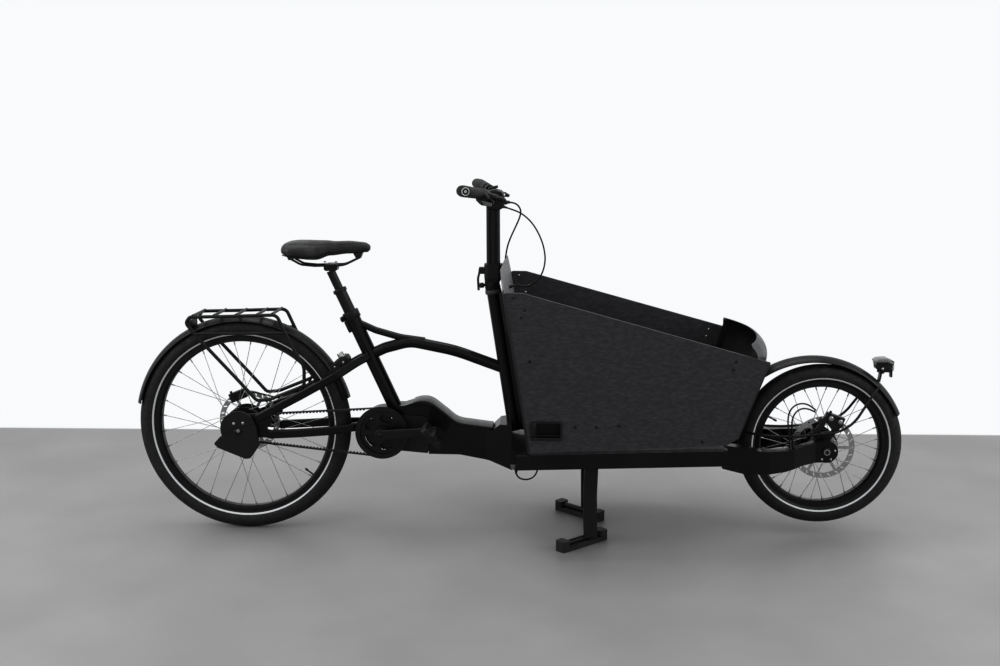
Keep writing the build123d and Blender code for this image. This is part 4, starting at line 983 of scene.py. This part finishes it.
def grip(side):
    """Winged grip: round inside, with a palm rest that grows rearwards to the tip."""
    verts, sides = [], 40
    loops = [(128, 0, 0.92), (126.5, 0, 1.0), (112, 0, 1.02), (96, 1, 0.97), (82, 4, 0.98), (68, 8, 1.0),
             (52, 12, 1.0), (34, 14.5, 1.0), (16, 15, 1.0), (4, 14.5, 0.98), (0, 13, 0.92), (-1, 11, 0.80)]
    _, out = bar_spot(side, 0)
    rear = (-X + Z * 0.16 + out * (X.dot(out))).normalized()
    over = out.cross(rear).normalized()
    for inset, wing, swell in loops:
        at, _ = bar_spot(side, inset)
        for k in range(sides):
            angle = 2 * math.pi * k / sides
            reach = 16.5 * swell + wing * max(0.0, math.cos(angle)) ** 2.2
            verts.append(at + (rear * math.cos(angle) + over * math.sin(angle)) * reach / 1000)
    faces = ring_faces(len(loops), sides)
    faces.append(tuple(range(sides)))
    faces.append(tuple(reversed(range((len(loops) - 1) * sides, len(loops) * sides))))
    return verts, faces


grips = piece("grip_skins", together([grip(-1), grip(1)]), "stem", "grip_rubber", MAT["grip"], sharp=60)
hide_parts("grips")
plug = [(0.0001, -0.004), (0.0125, -0.004), (0.0125, 0.0008), (0.011, 0.0012), (0.0001, 0.0012)]
end_ring = [(0.0122, 0.0), (0.0122, 0.0022), (0.0115, 0.0026), (0.0100, 0.0026), (0.0094, 0.0016),
            (0.0094, 0.0)]
plugs, rings, studs = [], [], []
for side in (-1, 1):
    end, out = bar_spot(side, -1)
    plugs.append(lathe(plug, end, out, 36))
    rings.append(lathe(end_ring, end, out, 40))
    studs.append(bolt(end + out * 0.001, out, 0.0042, 0.0018))
plastic("bar_end_plugs", together(plugs), "stem")
piece("bar_end_rings", together(rings), "stem", "lamp_body", MAT["ring"])
piece("bar_end_studs", together(studs), "stem", "lamp_body", MAT["ring"])

for word, side in SIDES:
    # broad finger blade under the lever's rod
    down = Vector((math.cos(math.radians(-42)), 0, math.sin(math.radians(-42))))
    knee, tip = bar_spot(side, 118)[0] + down * 0.050, bar_spot(side, 36)[0] + down * 0.046
    along = (tip - knee).normalized()
    tall = (Z - along * Z.dot(along)).normalized()
    length = (tip - knee).length
    blade = [(0.0, -0.005), (length * 0.5, -0.0065), (length * 0.92, -0.007), (length + 0.004, -0.003),
             (length + 0.004, 0.003), (length * 0.92, 0.006), (length * 0.5, 0.0055), (0.0, 0.005)]
    alloy(f"lever_blade_{word}", prism(blade, knee, along, tall, 0.0085), f"{word}_brake_lever",
          bevel=0.002, rounds=3)
    # hand control inboard of the grip
    at, out = bar_spot(side, 136)
    lean = (down - out * down.dot(out)).normalized()
    control = prism(rounded(0.030, 0.034, 0.008), at + lean * 0.021 - X * 0.006, lean, lean.cross(out), 0.026)
    plastic(f"hand_control_{word}", control, "stem", bevel=0.003, rounds=3)
    # reservoir and hose nut ahead of the bar
    start, _ = bar_spot(side, 176)
    nose = (X * 0.86 - out * 0.42 + Z * -0.24).normalized()
    barrel = [(0.0001, 0.0), (0.0085, 0.0), (0.0105, 0.003), (0.0108, 0.026), (0.0098, 0.030),
              (0.0072, 0.033), (0.0072, 0.046), (0.0058, 0.048), (0.0050, 0.058), (0.0001, 0.058)]
    alloy(f"reservoir_{word}", lathe(barrel, start + X * 0.012 - Z * 0.004, nose, 32, hexagon=(6, 7)), "stem")
    clamp, out = bar_spot(side, 168)
    band = [(0.0115, -0.008), (0.0165, -0.007), (0.0165, 0.007), (0.0115, 0.008)]
    alloy(f"reservoir_clamp_{word}", lathe(band, clamp, out, 36), "stem")

# stem head with its screws
HEAD = place(831, 0, 1092)
shell = [(-0.027, -0.030), (0.010, -0.036), (0.026, -0.028), (0.030, -0.010), (0.029, 0.014), (0.020, 0.026),
         (-0.004, 0.029), (-0.022, 0.024), (-0.029, 0.008)]
alloy("stem_head", prism(shell, HEAD, X, Z, 0.050), "stem", bevel=0.005, rounds=4)
bolts("stem_face_screws", "stem", "spoke_steel",
      [HEAD + X * 0.0285 + Y * y + Z * z for y in (-0.017, 0.017) for z in (-0.016, 0.012)], X, 0.0042, 0.003)
for name, side in (("stem_side_screws", -1), ("stem_side_screw_left", 1)):
    bolts(name, "stem", "spoke_steel", [HEAD + Y * (side * 0.0252) + X * -0.004 - Z * 0.010], Y * side,
          0.0042, 0.0025)

# display above the stem's rear
display = prism(rounded(0.044, 0.030, 0.006), HEAD + Z * 0.036 - X * 0.006, Y,
                (X * 0.9 + Z * 0.2).normalized(), 0.008)
plastic("display_case", display, "stem", bevel=0.0018)

# collar on the pillar, knob of the quick release
collar = [(0.0224, -0.006), (0.0258, -0.006), (0.0264, -0.004), (0.0264, 0.004), (0.0256, 0.006),
          (0.0224, 0.006)]
piece("pillar_collar", lathe(collar, place(824, 0, 796), STEER_AXIS, 48), "frame", "lamp_body", MAT["cap"])
knob = [(0.0001, -0.010), (0.0050, -0.010), (0.0072, -0.007), (0.0072, 0.004), (0.0045, 0.006),
        (0.0035, 0.012), (0.0001, 0.012)]
plastic("release_knob", lathe(knob, place(789, -9, 817), (X + Z * 0.1), 28, hexagon=(2, 3)), "column")


def seat_axis_point(z):
    """Point of the seat tube's axis at a height in millimetres."""
    low, high = 416, 728
    foot, top = place(498, 0, low), place(357.6, 0, high)
    return foot + (top - foot) * ((z - low) / (high - low))


sleeve_band = [(0.0192, -0.005), (0.0218, -0.005), (0.0226, -0.003), (0.0226, 0.004), (0.0214, 0.007),
               (0.0192, 0.007)]
alloy("sleeve_collar", lathe(sleeve_band, seat_axis_point(797), SEAT_AXIS, 48), "seat_sleeve")
clamp = [(0.0232, -0.018), (0.0262, -0.018), (0.0272, -0.016), (0.0272, 0.006), (0.0262, 0.009),
         (0.0196, 0.009), (0.0196, 0.006), (0.0232, 0.005)]
alloy("seat_clamp", lathe(clamp, seat_axis_point(722), SEAT_AXIS, 48))
square = (X.cross(SEAT_AXIS)).cross(SEAT_AXIS).normalized()
rear = square if square.x < 0 else -square
ear_at = seat_axis_point(717) + rear * 0.030
alloy("seat_clamp_ear", prism(rounded(0.016, 0.018, 0.004), ear_at, rear, SEAT_AXIS, 0.022), bevel=0.0015)
bolts("seat_clamp_bolt", "frame", "alloy_black", [ear_at + rear * 0.002 - Y * 0.011], -Y, 0.0062, 0.005,
      "alloy")
stub_at = seat_axis_point(690) + rear * 0.026
plastic("cable_port", prism(rounded(0.012, 0.040, 0.004), stub_at, rear, SEAT_AXIS, 0.016), bevel=0.002)

# sockets that take the saddle's rails, and the bolt of the seat post's head
rear_socket = [(-0.006, -0.007), (0.008, -0.007), (0.020, 0.014), (-0.014, 0.014)]
nose_socket = [(-0.008, -0.003), (0.005, -0.005), (0.016, 0.022), (-0.022, 0.022)]
rails = [prism(rear_socket, place(173, y, 906), X, Z, 0.013) for y in (-24, 24)]
rails.append(prism(nose_socket, place(391, 0, 907), X, Z, 0.032))
plastic("rail_sockets", together(rails), "saddle", bevel=0.002)
head_top = place(296, 0, 889)
bolts("seat_head_bolts", "saddle", "spoke_steel", [head_top + X * x for x in (-0.016, 0.020)], Z, 0.0045,
      0.004)


# ---- frame lock ----------------------------------------------------------------------------
LOCK = place(326, 0, 560)
lean = Vector((math.cos(math.radians(31)), 0, math.sin(math.radians(31))))
square = Vector((-lean.z, 0, lean.x))
case = [(-0.046, -0.011), (0.014, -0.013), (0.024, -0.004), (0.024, 0.012), (0.010, 0.020), (-0.020, 0.016),
        (-0.046, 0.010)]
plastic("lock_case", prism(case, LOCK + lean * 0.006, lean, square, 0.058), bevel=0.004, rounds=3)
barrel = [(0.0001, 0.0), (0.0100, 0.0), (0.0108, 0.001), (0.0108, 0.020), (0.0098, 0.022), (0.0060, 0.022),
          (0.0055, 0.019), (0.0001, 0.019)]
piece("lock_barrel", lathe(barrel, LOCK + lean * 0.014 + square * 0.010 - Y * 0.012, square, 36), "frame",
      "spoke_steel", MAT["silver"])
bolts("lock_screws", "frame", "spoke_steel", [LOCK - Y * 0.029 + lean * k for k in (-0.020, 0.012)], -Y,
      0.0042, 0.0025)


# ---- lamps ---------------------------------------------------------------------------------
cap = [(-0.024, 0.020), (0.014, 0.021), (0.035, 0.012), (0.037, 0.018), (0.016, 0.0345), (-0.012, 0.0325),
       (-0.024, 0.026)]
piece("lamp_cap", prism(cap, LAMP, X, Z, 0.045), "lamp", "lamp_body", MAT["lamp_grey"], bevel=0.003, rounds=3)
glass = prism([(0.031, -0.010), (0.0365, -0.006), (0.0375, 0.012), (0.031, 0.013)], LAMP, X, Z, 0.036)
piece("lamp_lens", glass, "lamp", "lamp_body", MAT["clear"], bevel=0.0015)
shroud = [(-0.018, -0.002), (0.006, -0.012), (0.029, -0.012), (0.031, 0.013), (-0.020, 0.013)]
plastic("lamp_shroud", prism(shroud, LAMP, X, Z, 0.040), "lamp", bevel=0.004, rounds=3)
bolts("lamp_pivot_screws", "lamp", "spoke_steel", [LAMP - Y * 0.0205], -Y, 0.0045, 0.003)

tail_case = prism(rounded(0.070, 0.026, 0.006), place(-163, 0, 690), Y, Z, 0.012)
plastic("tail_lamp_case", tail_case, bevel=0.002)
tail_lens = prism(rounded(0.062, 0.019, 0.005), place(-170, 0, 690), Y, Z, 0.006)
piece("tail_lamp_lens", tail_lens, "frame", "lamp_body", MAT["red"], bevel=0.0015)


# ---- beam ----------------------------------------------------------------------------------
def smooth_line(points, steps=6):
    """Points of a Catmull-Rom curve through the given ones; both ends are kept."""
    ends = [points[0]] + list(points) + [points[-1]]
    line = []
    for p0, p1, p2, p3 in zip(ends, ends[1:], ends[2:], ends[3:]):
        for step in range(steps):
            t = step / steps
            line.append(tuple(0.5 * (2 * b + (c - a) * t + (2 * a - 5 * b + 4 * c - d) * t ** 2
                                     + (3 * b - a - 3 * c + d) * t ** 3)
                              for a, b, c, d in zip(p0, p1, p2, p3)))
    return line + [points[-1]]


# rib between the pillar and the rear wall, which leans back by the slope
middle, half, slope = 0.570, 0.225, (914 - 846) / 450
upright, faces = prism([(-0.016, half), (0.016, half), (0.016, -half), (-0.016, -half)], place(891, 0, 570),
                       X, Z, 0.05)
leaning = [v + X * ((middle - v.z) * slope) for v in upright]
piece("wall_stiffener", (leaning, faces), "frame", "frame_paint", MAT["paint"], bevel=0.003)
hump_top = smooth_line([(560, 436), (590, 443), (622, 437), (665, 405), (706, 374), (760, 364), (822, 356)])
hump_low = smooth_line([(822, 346), (760, 354), (704, 364), (662, 394), (622, 424), (590, 431), (560, 426)])
cover = prism([(a / 1000, b / 1000) for a, b in hump_top + hump_low], place(0, 0, 0), X, Z, 0.088)
piece("beam_cover", cover, "frame", "frame_paint", MAT["paint"], bevel=0.004, rounds=3, sharp=50)


# ---- box trims -----------------------------------------------------------------------------
def strip(name, word, points, wide, out):
    """Thin edging along a panel's edge, on its outer face."""
    parts = []
    outer, _, side = PANELS[word]
    for (xa, za), (xb, zb) in zip(points, points[1:]):
        a, b = place(xa, 0, za), place(xb, 0, zb)
        run = b - a
        along = run.normalized()
        over = Vector((-along.z, 0, along.x))
        parts.append(prism([(-0.0005, -wide / 2), (run.length + 0.0005, -wide / 2),
                            (run.length + 0.0005, wide / 2), (-0.0005, wide / 2)],
                           a + Y * (outer + side * out / 2), along, over, out))
    piece(name, together(parts), "frame", "black_plastic", MAT["trim"], bevel=0.0004)


for word in PANELS:
    strip(f"rear_trim_{word}", word, [(944, 345), (868, 826)], 0.006, 0.0016)
    strip(f"front_trim_{word}", word, [(1572, 398), (1655, 620)], 0.004, 0.0012)


# ---- finish --------------------------------------------------------------------------------
camera()
studio()
floor()
